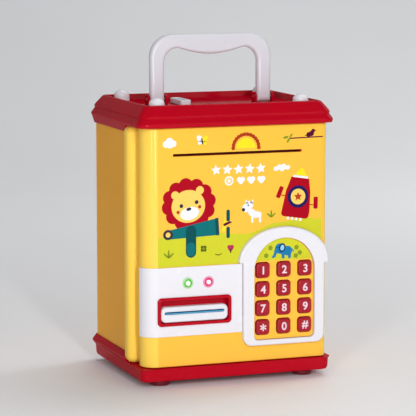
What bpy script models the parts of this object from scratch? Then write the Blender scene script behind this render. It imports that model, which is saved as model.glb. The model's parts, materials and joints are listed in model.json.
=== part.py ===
"""A toy ATM savings bank: a carry-handled money box whose front is one deep hinged door.

Metres, +Z up. The origin is on the table, at the middle of the footprint, and the door faces -Y.
Solids are built in world coordinates. Each object's origin is then put on its own axis, and the
pieces of the door hang from an empty on the hinge line.
"""

import math

import bmesh
import bpy
from mathutils import Vector

# --- driving dimensions -------------------------------------------------------------------------
# GAP parts two pieces that meet, the fits are wider, and REACH is how far a cutter runs past a face.
GAP = 0.0003
CASE_FIT = 0.0004
LAMP_FIT = 0.0004
REACH = 0.010
LIP_HALF_X = 0.091
LIP_HALF_Y = 0.073

# Base and lid: how far each ring of the outside stands in from the lip, its height, its corner.
BASE_RINGS = (
    (0.0060, 0.0050, 0.005),
    (0.0030, 0.0080, 0.007),
    (0.0024, 0.0155, 0.008),
    (0.0000, 0.0185, 0.009),
    (0.0000, 0.0205, 0.009),
    (0.0030, 0.0250, 0.007),
)
LID_RINGS = (
    (0.0026, 0.2200, 0.007),
    (0.0000, 0.2280, 0.009),
    (0.0000, 0.2295, 0.009),
    (0.0026, 0.2338, 0.008),
    (0.0022, 0.2355, 0.008),
    (0.0094, 0.2450, 0.006),
    (0.0116, 0.2450, 0.005),
    (0.0132, 0.2400, 0.004),
)
BASE_TOP_Z = BASE_RINGS[-1][1]
LID_BOTTOM_Z = LID_RINGS[0][1]
DECK_Z = 0.0170
SOFFIT_Z = 0.2263
TRAY_Z = LID_RINGS[-1][1]
LID_CEILING_Z = 0.2372
BASE_FLOOR_Z = 0.0085

# Case walls, a U in plan, open at the front.
CASE_HALF_X = 0.0870
CASE_BACK_Y = 0.0691
CASE_FRONT_Y = -0.0300
CASE_WALL = 0.0024
CASE_CORNER = 0.007
CASE_BOTTOM_Z = 0.0088
CASE_TOP_Z = 0.2369

# Frame that closes the front of the case round the door opening.
FRAME_BACK_Y = -0.0303
FRAME_FRONT_Y = -0.0420
FRAME_BOTTOM_Z = 0.0173
FRAME_TOP_Z = 0.2260
FRAME_OPENING_HALF_X = 0.078
FRAME_OPENING_BOTTOM_Z = 0.031
FRAME_OPENING_TOP_Z = 0.212
FRAME_CORNER = 0.005
FRAME_EDGE = 0.0012
FRAME_OPENING_CORNER = 0.004

# Door: a deep shell whose left edge is a barrel round the hinge line.
DOOR_FACE_Y = -0.0680
DOOR_BACK_Y = -0.0424
DOOR_RIGHT_X = 0.0850
DOOR_LEFT_X = -0.0850
DOOR_BOTTOM_Z = 0.0176
DOOR_TOP_Z = 0.2256
DOOR_WALL = 0.0022
DOOR_CORNER = 0.0055
DOOR_EDGE = 0.0008
BARREL_RADIUS = (DOOR_BACK_Y - DOOR_FACE_Y) / 2
HINGE_X = DOOR_LEFT_X + BARREL_RADIUS
HINGE_Y = DOOR_BACK_Y - BARREL_RADIUS
HINGE_PIN_RADIUS = 0.0020
HINGE_PINS = (("hinge_pin_lower", 0.0110, 0.0235), ("hinge_pin_upper", 0.2195, 0.2360))
PIN_SOCKET_BOTTOM_Z = 0.0105
PIN_SOCKET_TOP_Z = 0.2365
BACK_OPENING_RIGHT_X = 0.0826
BACK_OPENING_BOTTOM_Z = 0.0220
BACK_OPENING_TOP_Z = 0.2212
COVER_OUTER_Y = -0.0426
COVER_INNER_Y = -0.0443

# What stands on the door's face, and where the cuts through the face begin and end.
FACE_CUT_Y = (-0.072, -0.064)
FRONT_CUT_Y = (-0.080, -0.060)
PANEL_BACK_Y = DOOR_FACE_Y - GAP
PANEL_FRONT_Y = -0.0693
PANEL_BOTTOM_Z = 0.0446
PANEL_TOP_Z = 0.1050
PANEL_RIGHT_X = 0.0045
PANEL_WRAP_ANGLE = 186
SURROUND_FRONT_Y = -LIP_HALF_Y
SURROUND_LEFT_X = 0.0048
SURROUND_RIGHT_X = 0.0812
SURROUND_BOTTOM_Z = 0.0316
SURROUND_TOP_Z = 0.1363
SURROUND_CORNER = 0.008
SURROUND_EDGE = 0.0010
ARCH_LEFT_X = 0.0008
ARCH_RIGHT_X = 0.0850
ARCH_FOOT_Z = 0.1054
ARCH_FOOT_TIP = 0.0025
KEYPAD_X = 0.0430
KEYPAD_HALF_X = 0.0287
KEYPAD_BOTTOM_Z = 0.0365
KEYPAD_SPRING_Z = 0.0979
KEYPAD_CORNER = 0.004
KEYPAD_WINDOW_LOW = (0.0150, 0.0392)
KEYPAD_WINDOW_HIGH = (0.0710, 0.1066)
PLATE_FRONT_Y = -0.0699

# Keys, and the sheet and the board behind them.
KEY_PITCH_X = 0.0199
KEY_PITCH_Z = 0.0169
KEY_TOP_ROW_Z = 0.0984
KEY_HALF_X = 0.0064
KEY_HALF_Z = 0.0067
KEY_CORNER = 0.003
KEY_FLANGE = 0.0009
KEY_DRAFT = 0.0002
KEY_RIM = 0.0011
KEY_EDGE = 0.0008
KEY_HOLE_GAP = 0.0004
KEY_FRONT_Y = -0.0724
KEY_SHOULDER_Y = -0.0679
KEY_BACK_Y = -0.0671
MEMBRANE_LOW = (0.0135, -0.0652, 0.0375)
MEMBRANE_HIGH = (0.0725, -0.0646, 0.1085)
BOARD_LOW = (0.0115, -0.0643, 0.0345)
BOARD_HIGH = (0.0745, -0.0627, 0.1115)
KEY_NAMES = (
    ("key_1", "key_2", "key_3"),
    ("key_4", "key_5", "key_6"),
    ("key_7", "key_8", "key_9"),
    ("key_star", "key_0", "key_hash"),
)

# Card reader, and the card at its real size. A reader outline is how far it stands in from the
# flange and its corner, and the insert's also has how much lower its top is.
READER_X = -0.0400
READER_HALF_X = 0.0339
READER_BOTTOM_Z = 0.0540
READER_TOP_Z = 0.0789
READER_FRONT_Y = -0.0714
READER_EDGE = 0.0006
READER_WINDOW_STEP = 0.0013
READER_FLANGE = (0.0, 0.003)
READER_SLEEVE = (0.0016, 0.002)
READER_SLEEVE_Y = (-0.0700, -0.0625)
READER_WELL = (0.0027, 0.0018)
READER_WELL_FLOOR_Y = -0.0640
READER_INSERT = (0.0030, 0.0040, 0.0050)
READER_INSERT_Y = (-0.0706, -0.0643)
READER_INSERT_EDGE = 0.0010
CARD_LENGTH = 0.0856
CARD_WIDTH = 0.0540
CARD_THICKNESS = 0.0008
CARD_CORNER = 0.0032
CARD_FRONT_Y = -0.0728
CARD_Z = 0.0653
SLIT_HALF_X = 0.0275
SLIT_HALF_Z = 0.0011
GUIDE_HALF_X = SLIT_HALF_X + 0.0019
GUIDE_HALF_Z = 0.0035
GUIDE_FIT_Z = 0.0005
GUIDE_SPARE = 0.0001
GUIDE_FRONT_Y = -0.0622
GUIDE_BACK_Y = 0.0160
GUIDE_SLIT_BACK_Y = 0.0145

# Lamps.
LAMP_Z = 0.0908
LAMP_X = {"lamp_green": -0.0460, "lamp_red": -0.0270}
LAMP_RADIUS = 0.0033
LAMP_BACK_Y = -0.0630
LAMP_SPRING_Y = -0.0690
LAMP_RISE = 0.0018

# Note slot and the feeder behind it.
NOTE_LEFT_X = -0.0590
NOTE_RIGHT_X = 0.0610
NOTE_Z = 0.2022
NOTE_HALF_Z = 0.0012
FEEDER_LOW = (-0.0620, -0.0654, 0.1930)
FEEDER_HIGH = (0.0640, -0.0495, 0.2125)
FEEDER_ROOM_LOW = (-0.0585, -0.0620, 0.180)
FEEDER_ROOM_HIGH = (0.0605, -0.040, 0.220)
FEEDER_SLIT_STEP = 0.0008
ROLLER_Y = -0.0552
ROLLER_RADIUS = 0.0044
ROLLER_LEFT_X = -0.0560
ROLLER_RIGHT_X = 0.0580
ROLLER_SHAFT_RADIUS = 0.0015
ROLLER_SHAFT_LEFT_X = -0.0615
FEED_SHAFT_RIGHT_X = 0.0648
IDLER_SHAFT_RIGHT_X = 0.0635
FEED_ROLLER_Z = 0.1975
IDLER_ROLLER_Z = 0.2069
GEAR_TEETH = 18
PINION_TEETH = 8
GEAR_CENTRES = 0.0123
GEAR_X = (0.0652, 0.0690)
PINION_X = (0.0648, 0.0694)
MOTOR_Z = FEED_ROLLER_Z - GEAR_CENTRES

# Handle and the top of the lid.
HANDLE_TOP_Z = 0.3020
HANDLE_HALF_X = 0.0570
HANDLE_LEG_WIDTH = 0.0130
HANDLE_LEG_X = HANDLE_HALF_X - HANDLE_LEG_WIDTH / 2
HANDLE_HALF_DEPTH = 0.0045
HANDLE_AXIS_Z = 0.2450
HANDLE_OUTER_CORNER = 0.020
HANDLE_INNER_CORNER = 0.013
GRIP_THICKNESS = 0.012
GRIP_BELLY = 0.0058
HANDLE_EDGE = 0.0030
HANDLE_FOOT_EDGE_SHARE = 0.66
HANDLE_PIN_RADIUS = 0.0015
HANDLE_PIN_HALF = 0.0094
LUG_RADIUS = 0.0040
LUG_ROOT = 0.001
LUG_GAP = 0.0006
LUG_THICKNESS = 0.0024
DOME_X = 0.067
DOME_Y = 0.049
DOME_RADIUS = 0.0070
DOME_SPRING_Z = 0.2455
DOME_RISE = 0.0050
COIN_X = -0.0280
COIN_COLLAR_HALF = (0.0048, 0.0160)
COIN_COLLAR_TOP_Z = 0.2448
COIN_COLLAR_CORNER = 0.0025
COIN_COLLAR_EDGE = 0.0008
COIN_SLIT_HALF = (0.0016, 0.0138)

# Feet: the profile is each height and how far the side stands in there.
FOOT_X = 0.067
FOOT_Y = 0.055
FOOT_RADIUS = 0.009
FOOT_PROFILE = ((0.0, 0.0022), (0.0008, 0.0008), (0.0024, 0.0), (0.0047, 0.0))

# Batteries in the back of the door, in a box that opens behind its cover.
BATTERY_RADIUS = 0.0071
BATTERY_LENGTH = 0.0505
BATTERY_X = 0.037
BATTERY_Y = -0.0525
BATTERY_MIDDLE_Z = 0.153
BATTERY_PITCH = 0.0156
BATTERY_NUB_RADIUS = 0.0026
BATTERY_NUB_LENGTH = 0.0015
BATTERY_BOX_LOW = (0.0070, -0.0620, 0.1270)
BATTERY_BOX_HIGH = (0.0745, -0.0446, 0.1790)
BATTERY_ROOM_LOW = (0.0090, -0.0603, 0.1288)
BATTERY_ROOM_HIGH = (0.0655, -0.0400, 0.1772)
BATTERY_DOOR_LOW = (0.0090, 0.1290)
BATTERY_DOOR_HIGH = (0.0740, 0.1770)
SCREW_X = 0.0695
SCREW_HOLE_RADIUS = 0.0018

# Speaker, and the slots in front of it, which get shorter above and below the middle one.
SPEAKER_Z = 0.150
SPEAKER_BACK_Y = -0.0447
SLOT_PITCH = 0.0055
SLOT_HALF_X = 0.0130
SLOT_TAPER = 0.0018
SLOT_HALF_Z = 0.0011

# Latch on the back of the door.
BOLT_Y = -0.02725
BOLT_Z = 0.104
BOLT_LEFT_X = 0.050
BOLT_RIGHT_X = 0.073
BOLT_HALF_Y = 0.0017
BOLT_HALF_Z = 0.0050
BOLT_FIT = 0.0004
BOLT_CORNER = 0.0008
BOLT_EDGE = 0.0006
BOLT_CHANNEL_LEFT_X = 0.0470
LATCH_LEFT_X = 0.0440
LATCH_RIGHT_X = 0.0700
LATCH_HALF_Z = 0.0085
LATCH_DOOR_Y = -0.0423
LATCH_INNER_Y = -0.0230

# Name: colour, roughness, metallic.
FINISHES = {
    "red_abs": ((0.56, 0.008, 0.022), 0.22, 0.0),
    "dark_red_abs": ((0.20, 0.003, 0.010), 0.45, 0.0),
    "yellow_abs": ((0.90, 0.50, 0.055), 0.28, 0.0),
    "white_abs": ((0.86, 0.85, 0.88), 0.25, 0.0),
    "handle_abs": ((0.80, 0.78, 0.84), 0.25, 0.0),
    "key_red": ((0.48, 0.006, 0.016), 0.30, 0.0),
    "green_lens": ((0.35, 0.75, 0.25), 0.10, 0.0),
    "red_lens": ((0.85, 0.08, 0.20), 0.10, 0.0),
    "card_pvc": ((0.07, 0.42, 0.68), 0.25, 0.0),
    "grey_abs": ((0.30, 0.30, 0.32), 0.45, 0.0),
    "black_rubber": ((0.03, 0.03, 0.03), 0.70, 0.0),
    "grey_rubber": ((0.42, 0.42, 0.44), 0.70, 0.0),
    "circuit_green": ((0.02, 0.16, 0.06), 0.40, 0.0),
    "white_acetal": ((0.78, 0.76, 0.70), 0.35, 0.0),
    "steel": ((0.60, 0.60, 0.62), 0.28, 1.0),
    "battery_foil": ((0.10, 0.22, 0.30), 0.35, 0.2),
}


# --- outlines -----------------------------------------------------------------------------------
def arc(centre_u, centre_v, radius, start, end, steps):
    """Points on an arc in degrees, both ends included."""
    points = []
    for step in range(steps + 1):
        angle = math.radians(start + (end - start) * step / steps)
        points.append((centre_u + radius * math.cos(angle), centre_v + radius * math.sin(angle)))
    return points


def circle(centre_u, centre_v, radius, steps=20):
    return arc(centre_u, centre_v, radius, 0, 360, steps)[:-1]


def rounded(left, bottom, right, top, radius, steps=3):
    """A rectangle with round corners, anticlockwise."""
    return (
        arc(right - radius, bottom + radius, radius, -90, 0, steps)
        + arc(right - radius, top - radius, radius, 0, 90, steps)
        + arc(left + radius, top - radius, radius, 90, 180, steps)
        + arc(left + radius, bottom + radius, radius, 180, 270, steps)
    )


def inset(outline, distance):
    """An anticlockwise outline moved inwards along its corners' bisectors."""
    moved = []
    for index, (u, v) in enumerate(outline):
        before = outline[index - 1]
        after = outline[(index + 1) % len(outline)]
        first = Vector((u - before[0], v - before[1])).normalized()
        second = Vector((after[0] - u, after[1] - v)).normalized()
        bisector = Vector((-first.y - second.y, first.x + second.x)).normalized()
        reach = distance / max(0.3, bisector.dot(Vector((-first.y, first.x))))
        moved.append((u + bisector.x * reach, v + bisector.y * reach))
    return moved


def keypad_outline(shrink):
    """The keypad's inner outline: a rectangle under a half circle."""
    left = KEYPAD_X - KEYPAD_HALF_X + shrink
    right = KEYPAD_X + KEYPAD_HALF_X - shrink
    bottom = KEYPAD_BOTTOM_Z + shrink
    corner = KEYPAD_CORNER
    return (
        arc(left + corner, bottom + corner, corner, 180, 270, 3)
        + arc(right - corner, bottom + corner, corner, -90, 0, 3)
        + arc(KEYPAD_X, KEYPAD_SPRING_Z, KEYPAD_HALF_X - shrink, 0, 180, 18)
    )


def surround_outline():
    """The keypad surround's outside: an arch whose feet stand out past its legs."""
    corner = SURROUND_CORNER
    middle = (ARCH_LEFT_X + ARCH_RIGHT_X) / 2
    half = (ARCH_RIGHT_X - ARCH_LEFT_X) / 2
    rise = SURROUND_TOP_Z - ARCH_FOOT_Z
    arch = []
    for step in range(21):
        angle = math.pi * step / 20
        arch.append((middle + half * math.cos(angle), ARCH_FOOT_Z + rise * math.sin(angle)))
    legs = arc(SURROUND_LEFT_X + corner, SURROUND_BOTTOM_Z + corner, corner, 180, 270, 4)
    legs += arc(SURROUND_RIGHT_X - corner, SURROUND_BOTTOM_Z + corner, corner, -90, 0, 4)
    legs.append((SURROUND_RIGHT_X, ARCH_FOOT_Z - 2 * ARCH_FOOT_TIP))
    legs.append((ARCH_RIGHT_X, ARCH_FOOT_Z - ARCH_FOOT_TIP))
    return legs + arch + [(SURROUND_LEFT_X, ARCH_FOOT_Z)]


def door_outline(shrink):
    """The door in plan, anticlockwise: front face, right side, back, and the hinge barrel."""
    corner = DOOR_CORNER - shrink
    right = DOOR_RIGHT_X - DOOR_CORNER
    front = DOOR_FACE_Y + DOOR_CORNER
    return (
        arc(HINGE_X, HINGE_Y, BARREL_RADIUS - shrink, 90, 270, 14)
        + arc(right, front, corner, -90, 0, 5)
        + [(DOOR_RIGHT_X - shrink, DOOR_BACK_Y - shrink)]
    )


def gear_outline(centre_u, centre_v, teeth, module, turn):
    """A spur gear with straight-sided teeth, slim enough to run with clearance."""
    pitch_radius = module * teeth / 2
    root = pitch_radius - 1.0 * module
    tip = pitch_radius + 0.6 * module
    points = []
    for tooth in range(teeth):
        middle = math.tau * tooth / teeth + turn
        for radius, share in ((root, -0.24), (tip, -0.10), (tip, 0.10), (root, 0.24)):
            angle = middle + share * math.tau / teeth
            points.append((centre_u + radius * math.cos(angle), centre_v + radius * math.sin(angle)))
    return points


# --- solids -------------------------------------------------------------------------------------
def at(axis, u, v, along):
    """A point whose outline coordinates u, v lie across the axis: (y, z), (x, z) or (x, y)."""
    return {"X": Vector((along, u, v)), "Y": Vector((u, along, v)), "Z": Vector((u, v, along))}[axis]


def skin(mesh, rings):
    """Joins rings of equal count with faces, and closes both ends."""
    rows = [[mesh.verts.new(point) for point in ring] for ring in rings]
    faces = [mesh.faces.new(rows[0]), mesh.faces.new(rows[-1])]
    for lower, upper in zip(rows, rows[1:]):
        for index in range(len(lower)):
            after = (index + 1) % len(lower)
            faces.append(mesh.faces.new((lower[index], lower[after], upper[after], upper[index])))
    bmesh.ops.recalc_face_normals(mesh, faces=faces)


def prism(mesh, outline, axis, low, high, edge_low=0.0, edge_high=0.0):
    """An outline drawn along an axis, with a chamfer at either end."""
    stations = [(low, edge_low)]
    if edge_low:
        stations.append((low + edge_low, 0.0))
    if edge_high:
        stations.append((high - edge_high, 0.0))
    stations.append((high, edge_high))
    rings = []
    for along, shrink in stations:
        ring = inset(outline, shrink) if shrink else outline
        rings.append([at(axis, u, v, along) for u, v in ring])
    skin(mesh, rings)


def block(mesh, low, high):
    """A plain box between two corners."""
    outline = [(low[0], low[1]), (high[0], low[1]), (high[0], high[1]), (low[0], high[1])]
    prism(mesh, outline, "Z", low[2], high[2])


def turned(mesh, axis, centre_u, centre_v, profile, steps=20):
    """A round piece from (distance along the axis, radius) pairs."""
    rings = []
    for along, radius in profile:
        outline = circle(centre_u, centre_v, radius, steps)
        rings.append([at(axis, u, v, along) for u, v in outline])
    skin(mesh, rings)


def rod(mesh, axis, centre_u, centre_v, ends, radius, steps=12):
    """A plain round bar between two places along its axis."""
    turned(mesh, axis, centre_u, centre_v, [(end, radius) for end in ends], steps)


def material(name):
    found = bpy.data.materials.get(name)
    if found:
        return found
    colour, roughness, metallic = FINISHES[name]
    made = bpy.data.materials.new(name)
    made.use_nodes = True
    shader = made.node_tree.nodes["Principled BSDF"]
    shader.inputs["Base Color"].default_value = (*colour, 1.0)
    shader.inputs["Roughness"].default_value = roughness
    shader.inputs["Metallic"].default_value = metallic
    made.diffuse_color = (*colour, 1.0)
    return made


def add_object(name, mesh, finish, origin=(0, 0, 0), parent=None, smooth=False):
    """Makes the mesh an object with its origin at a world point."""
    bmesh.ops.translate(mesh, verts=mesh.verts, vec=-Vector(origin))
    data = bpy.data.meshes.new(name)
    mesh.to_mesh(data)
    mesh.free()
    if smooth:
        data.shade_smooth()
        data.set_sharp_from_angle(angle=math.radians(35))
    made = bpy.data.objects.new(name, data)
    made.data.materials.append(material(finish))
    bpy.context.scene.collection.objects.link(made)
    made.location = origin
    if parent:
        made.parent = parent
        made.location = Vector(origin) - parent.location
    return made


def combine(target, operation, mesh):
    """Cuts a mesh from an object, or joins it on, with a hidden helper that stays with it."""
    where = target.location + (target.parent.location if target.parent else Vector())
    bmesh.ops.translate(mesh, verts=mesh.verts, vec=-where)
    data = bpy.data.meshes.new(target.name + "_helper")
    mesh.to_mesh(data)
    mesh.free()
    helper = bpy.data.objects.new(target.name + "_helper", data)
    bpy.context.scene.collection.objects.link(helper)
    helper.parent = target
    helper.hide_render = True
    helper.display_type = "WIRE"
    modifier = target.modifiers.new(operation.title(), "BOOLEAN")
    modifier.operation = operation
    modifier.object = helper
    modifier.solver = "EXACT"


def add_axis(name, location):
    axis = bpy.data.objects.new(name, None)
    axis.empty_display_size = 0.02
    axis.location = location
    bpy.context.scene.collection.objects.link(axis)
    return axis


def tub(rings):
    """The solid inside a stack of rounded rectangles, each set in from the lip."""
    mesh = bmesh.new()
    rows = []
    for step_in, height, corner in rings:
        half_x = LIP_HALF_X - step_in
        half_y = LIP_HALF_Y - step_in
        outline = rounded(-half_x, -half_y, half_x, half_y, corner, 4)
        rows.append([at("Z", u, v, height) for u, v in outline])
    skin(mesh, rows)
    return mesh


# --- case ---------------------------------------------------------------------------------------
def case_room(low, high):
    """The space that the case walls stand in, inside the base or the lid."""
    mesh = bmesh.new()
    side = CASE_HALF_X + CASE_FIT
    front = CASE_FRONT_Y - CASE_FIT
    corner_x = CASE_HALF_X - CASE_CORNER
    corner_y = CASE_BACK_Y - CASE_CORNER
    outline = [(-side, front), (side, front)]
    outline += arc(corner_x, corner_y, CASE_CORNER + CASE_FIT, 0, 90, 5)
    outline += arc(-corner_x, corner_y, CASE_CORNER + CASE_FIT, 90, 180, 5)
    prism(mesh, outline, "Z", low, high)
    return mesh


def front_notch(low, high):
    """The room that the frame and the door take out of the front of the base or the lid."""
    mesh = bmesh.new()
    side = LIP_HALF_X + REACH
    block(mesh, (-side, -side, low), (side, CASE_FRONT_Y, high))
    return mesh


def hinge_hole(low, high):
    """The bore that a hinge pin sits in."""
    mesh = bmesh.new()
    rod(mesh, "Z", HINGE_X, HINGE_Y, (low, high), HINGE_PIN_RADIUS + GAP, 16)
    return mesh


def make_base():
    base = add_object("base", tub(BASE_RINGS), "red_abs")
    combine(base, "DIFFERENCE", case_room(BASE_FLOOR_Z, BASE_TOP_Z + REACH))
    combine(base, "DIFFERENCE", front_notch(DECK_Z, BASE_TOP_Z + REACH))
    combine(base, "DIFFERENCE", hinge_hole(PIN_SOCKET_BOTTOM_Z, BASE_TOP_Z + REACH))


def make_lid():
    lid = add_object("lid", tub(LID_RINGS), "red_abs")
    combine(lid, "DIFFERENCE", case_room(LID_BOTTOM_Z - REACH, LID_CEILING_Z))
    combine(lid, "DIFFERENCE", front_notch(LID_BOTTOM_Z - REACH, SOFFIT_Z))
    combine(lid, "DIFFERENCE", hinge_hole(LID_BOTTOM_Z - REACH, PIN_SOCKET_TOP_Z))
    coin = bmesh.new()
    half_x, half_y = COIN_SLIT_HALF
    block(
        coin,
        (COIN_X - half_x - GAP, -half_y - GAP, LID_CEILING_Z - REACH),
        (COIN_X + half_x + GAP, half_y + GAP, TRAY_Z + REACH),
    )
    combine(lid, "DIFFERENCE", coin)
    for inner, outer in handle_lug_spans():
        lug = bmesh.new()
        root_z = TRAY_Z - LUG_ROOT
        outline = [(-LUG_RADIUS, root_z), (LUG_RADIUS, root_z)]
        outline += arc(0, HANDLE_AXIS_Z, LUG_RADIUS, 0, 180, 8)
        prism(lug, outline, "X", inner, outer)
        combine(lid, "UNION", lug)
    combine(lid, "DIFFERENCE", handle_bores())


def handle_bores():
    """The bores through both legs and their lugs, which the handle's pins run in."""
    bores = bmesh.new()
    for middle in (-HANDLE_LEG_X, HANDLE_LEG_X):
        ends = (middle - HANDLE_LEG_WIDTH, middle + HANDLE_LEG_WIDTH)
        rod(bores, "X", 0, HANDLE_AXIS_Z, ends, HANDLE_PIN_RADIUS + GAP)
    return bores


def handle_lug_spans():
    """Where the four lugs stand along X, beside the two legs of the handle."""
    inner_face = HANDLE_HALF_X - HANDLE_LEG_WIDTH - LUG_GAP
    outer_face = HANDLE_HALF_X + LUG_GAP
    spans = [(inner_face - LUG_THICKNESS, inner_face), (outer_face, outer_face + LUG_THICKNESS)]
    return spans + [(-high, -low) for low, high in spans]


def make_feet():
    places = {
        "foot_front_left": (-1, -1),
        "foot_front_right": (1, -1),
        "foot_rear_left": (-1, 1),
        "foot_rear_right": (1, 1),
    }
    for name, (side_x, side_y) in places.items():
        foot = bmesh.new()
        profile = [(height, FOOT_RADIUS - step_in) for height, step_in in FOOT_PROFILE]
        turned(foot, "Z", side_x * FOOT_X, side_y * FOOT_Y, profile, 24)
        add_object(name, foot, "dark_red_abs", (side_x * FOOT_X, side_y * FOOT_Y, 0), smooth=True)


def make_case():
    walls = bmesh.new()
    back = CASE_BACK_Y - CASE_CORNER
    side = CASE_HALF_X - CASE_CORNER
    inner = CASE_CORNER - CASE_WALL
    outline = (
        [(-CASE_HALF_X, CASE_FRONT_Y), (-CASE_HALF_X + CASE_WALL, CASE_FRONT_Y)]
        + arc(-side, back, inner, 180, 90, 5)
        + arc(side, back, inner, 90, 0, 5)
        + [(CASE_HALF_X - CASE_WALL, CASE_FRONT_Y), (CASE_HALF_X, CASE_FRONT_Y)]
        + arc(side, back, CASE_CORNER, 0, 90, 5)
        + arc(-side, back, CASE_CORNER, 90, 180, 5)
    )
    prism(walls, outline, "Z", CASE_BOTTOM_Z, CASE_TOP_Z)
    add_object("case_shell", walls, "yellow_abs", smooth=True)

    frame = bmesh.new()
    outline = rounded(-LIP_HALF_X, FRAME_BOTTOM_Z, LIP_HALF_X, FRAME_TOP_Z, FRAME_CORNER, 4)
    prism(frame, outline, "Y", FRAME_FRONT_Y, FRAME_BACK_Y, FRAME_EDGE)
    frame = add_object("front_frame", frame, "yellow_abs")
    opening = bmesh.new()
    outline = rounded(
        -FRAME_OPENING_HALF_X,
        FRAME_OPENING_BOTTOM_Z,
        FRAME_OPENING_HALF_X,
        FRAME_OPENING_TOP_Z,
        FRAME_OPENING_CORNER,
    )
    prism(opening, outline, "Y", FRAME_FRONT_Y - REACH, FRAME_BACK_Y + REACH)
    combine(frame, "DIFFERENCE", opening)


# --- lid fittings -------------------------------------------------------------------------------
def make_lid_fittings():
    collar = bmesh.new()
    half_x, half_y = COIN_COLLAR_HALF
    outline = rounded(COIN_X - half_x, -half_y, COIN_X + half_x, half_y, COIN_COLLAR_CORNER)
    prism(collar, outline, "Z", TRAY_Z + GAP, COIN_COLLAR_TOP_Z, 0.0, COIN_COLLAR_EDGE)
    collar = add_object("coin_collar", collar, "white_abs")
    slit = bmesh.new()
    half_x, half_y = COIN_SLIT_HALF
    block(
        slit,
        (COIN_X - half_x, -half_y, TRAY_Z - REACH),
        (COIN_X + half_x, half_y, COIN_COLLAR_TOP_Z + REACH),
    )
    combine(collar, "DIFFERENCE", slit)

    places = {
        "corner_dome_front_left": (-1, -1),
        "corner_dome_front_right": (1, -1),
        "corner_dome_rear_left": (-1, 1),
        "corner_dome_rear_right": (1, 1),
    }
    for name, (side_x, side_y) in places.items():
        dome = bmesh.new()
        profile = [(TRAY_Z + GAP, DOME_RADIUS), (DOME_SPRING_Z, DOME_RADIUS)]
        for angle in (20, 40, 60, 80):
            rise = DOME_RISE * math.sin(math.radians(angle))
            profile.append((DOME_SPRING_Z + rise, DOME_RADIUS * math.cos(math.radians(angle))))
        turned(dome, "Z", side_x * DOME_X, side_y * DOME_Y, profile, 20)
        add_object(name, dome, "white_abs", (side_x * DOME_X, side_y * DOME_Y, TRAY_Z), smooth=True)


def handle_stations():
    """Outer point, inner point and half depth at each place along the U, from left foot to right."""
    outer_x = HANDLE_HALF_X
    inner_x = HANDLE_HALF_X - HANDLE_LEG_WIDTH
    shoulder_z = HANDLE_TOP_Z - GRIP_THICKNESS
    outer_corner = HANDLE_OUTER_CORNER
    inner_corner = HANDLE_INNER_CORNER
    stations = []
    for angle in (80, 60, 40, 20, 0):
        drop = HANDLE_HALF_DEPTH * math.sin(math.radians(angle))
        depth = HANDLE_HALF_DEPTH * math.cos(math.radians(angle))
        height = HANDLE_AXIS_Z - drop
        stations.append(((-outer_x, height), (-inner_x, height), depth))
    outer_arc = arc(-outer_x + outer_corner, HANDLE_TOP_Z - outer_corner, outer_corner, 180, 90, 6)
    inner_arc = arc(-inner_x + inner_corner, shoulder_z - inner_corner, inner_corner, 180, 90, 6)
    stations += [(outer, inner, HANDLE_HALF_DEPTH) for outer, inner in zip(outer_arc, inner_arc)]
    for share in (-0.75, -0.5, -0.25, 0.0):
        outer = (share * (outer_x - outer_corner), HANDLE_TOP_Z)
        belly = GRIP_BELLY * math.cos(share * math.pi / 2)
        inner = (share * (inner_x - inner_corner), shoulder_z - belly)
        stations.append((outer, inner, HANDLE_HALF_DEPTH))
    mirrored = []
    for outer, inner, depth in reversed(stations[:-1]):
        mirrored.append(((-outer[0], outer[1]), (-inner[0], inner[1]), depth))
    return stations + mirrored


def make_handle():
    handle = bmesh.new()
    rings = []
    for outer, inner, depth in handle_stations():
        across = Vector((inner[0] - outer[0], inner[1] - outer[1]))
        half = across.length / 2
        middle = Vector(outer) + across / 2
        across.normalize()
        edge = min(HANDLE_EDGE, depth * HANDLE_FOOT_EDGE_SHARE)
        section = rounded(-half, -depth, half, depth, edge, 2)
        rings.append([(middle.x + across.x * u, v, middle.y + across.y * u) for u, v in section])
    skin(handle, rings)
    handle = add_object("carry_handle", handle, "handle_abs", (0, 0, HANDLE_AXIS_Z), smooth=True)
    combine(handle, "DIFFERENCE", handle_bores())
    for name, middle in (("handle_pin_left", -HANDLE_LEG_X), ("handle_pin_right", HANDLE_LEG_X)):
        pin = bmesh.new()
        ends = (middle - HANDLE_PIN_HALF, middle + HANDLE_PIN_HALF)
        rod(pin, "X", 0, HANDLE_AXIS_Z, ends, HANDLE_PIN_RADIUS)
        add_object(name, pin, "steel", (middle, 0, HANDLE_AXIS_Z), smooth=True)


# --- door ---------------------------------------------------------------------------------------
def make_hinge_pins():
    for name, low, high in HINGE_PINS:
        pin = bmesh.new()
        rod(pin, "Z", HINGE_X, HINGE_Y, (low, high), HINGE_PIN_RADIUS, 16)
        add_object(name, pin, "steel", (HINGE_X, HINGE_Y, low), smooth=True)


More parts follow.
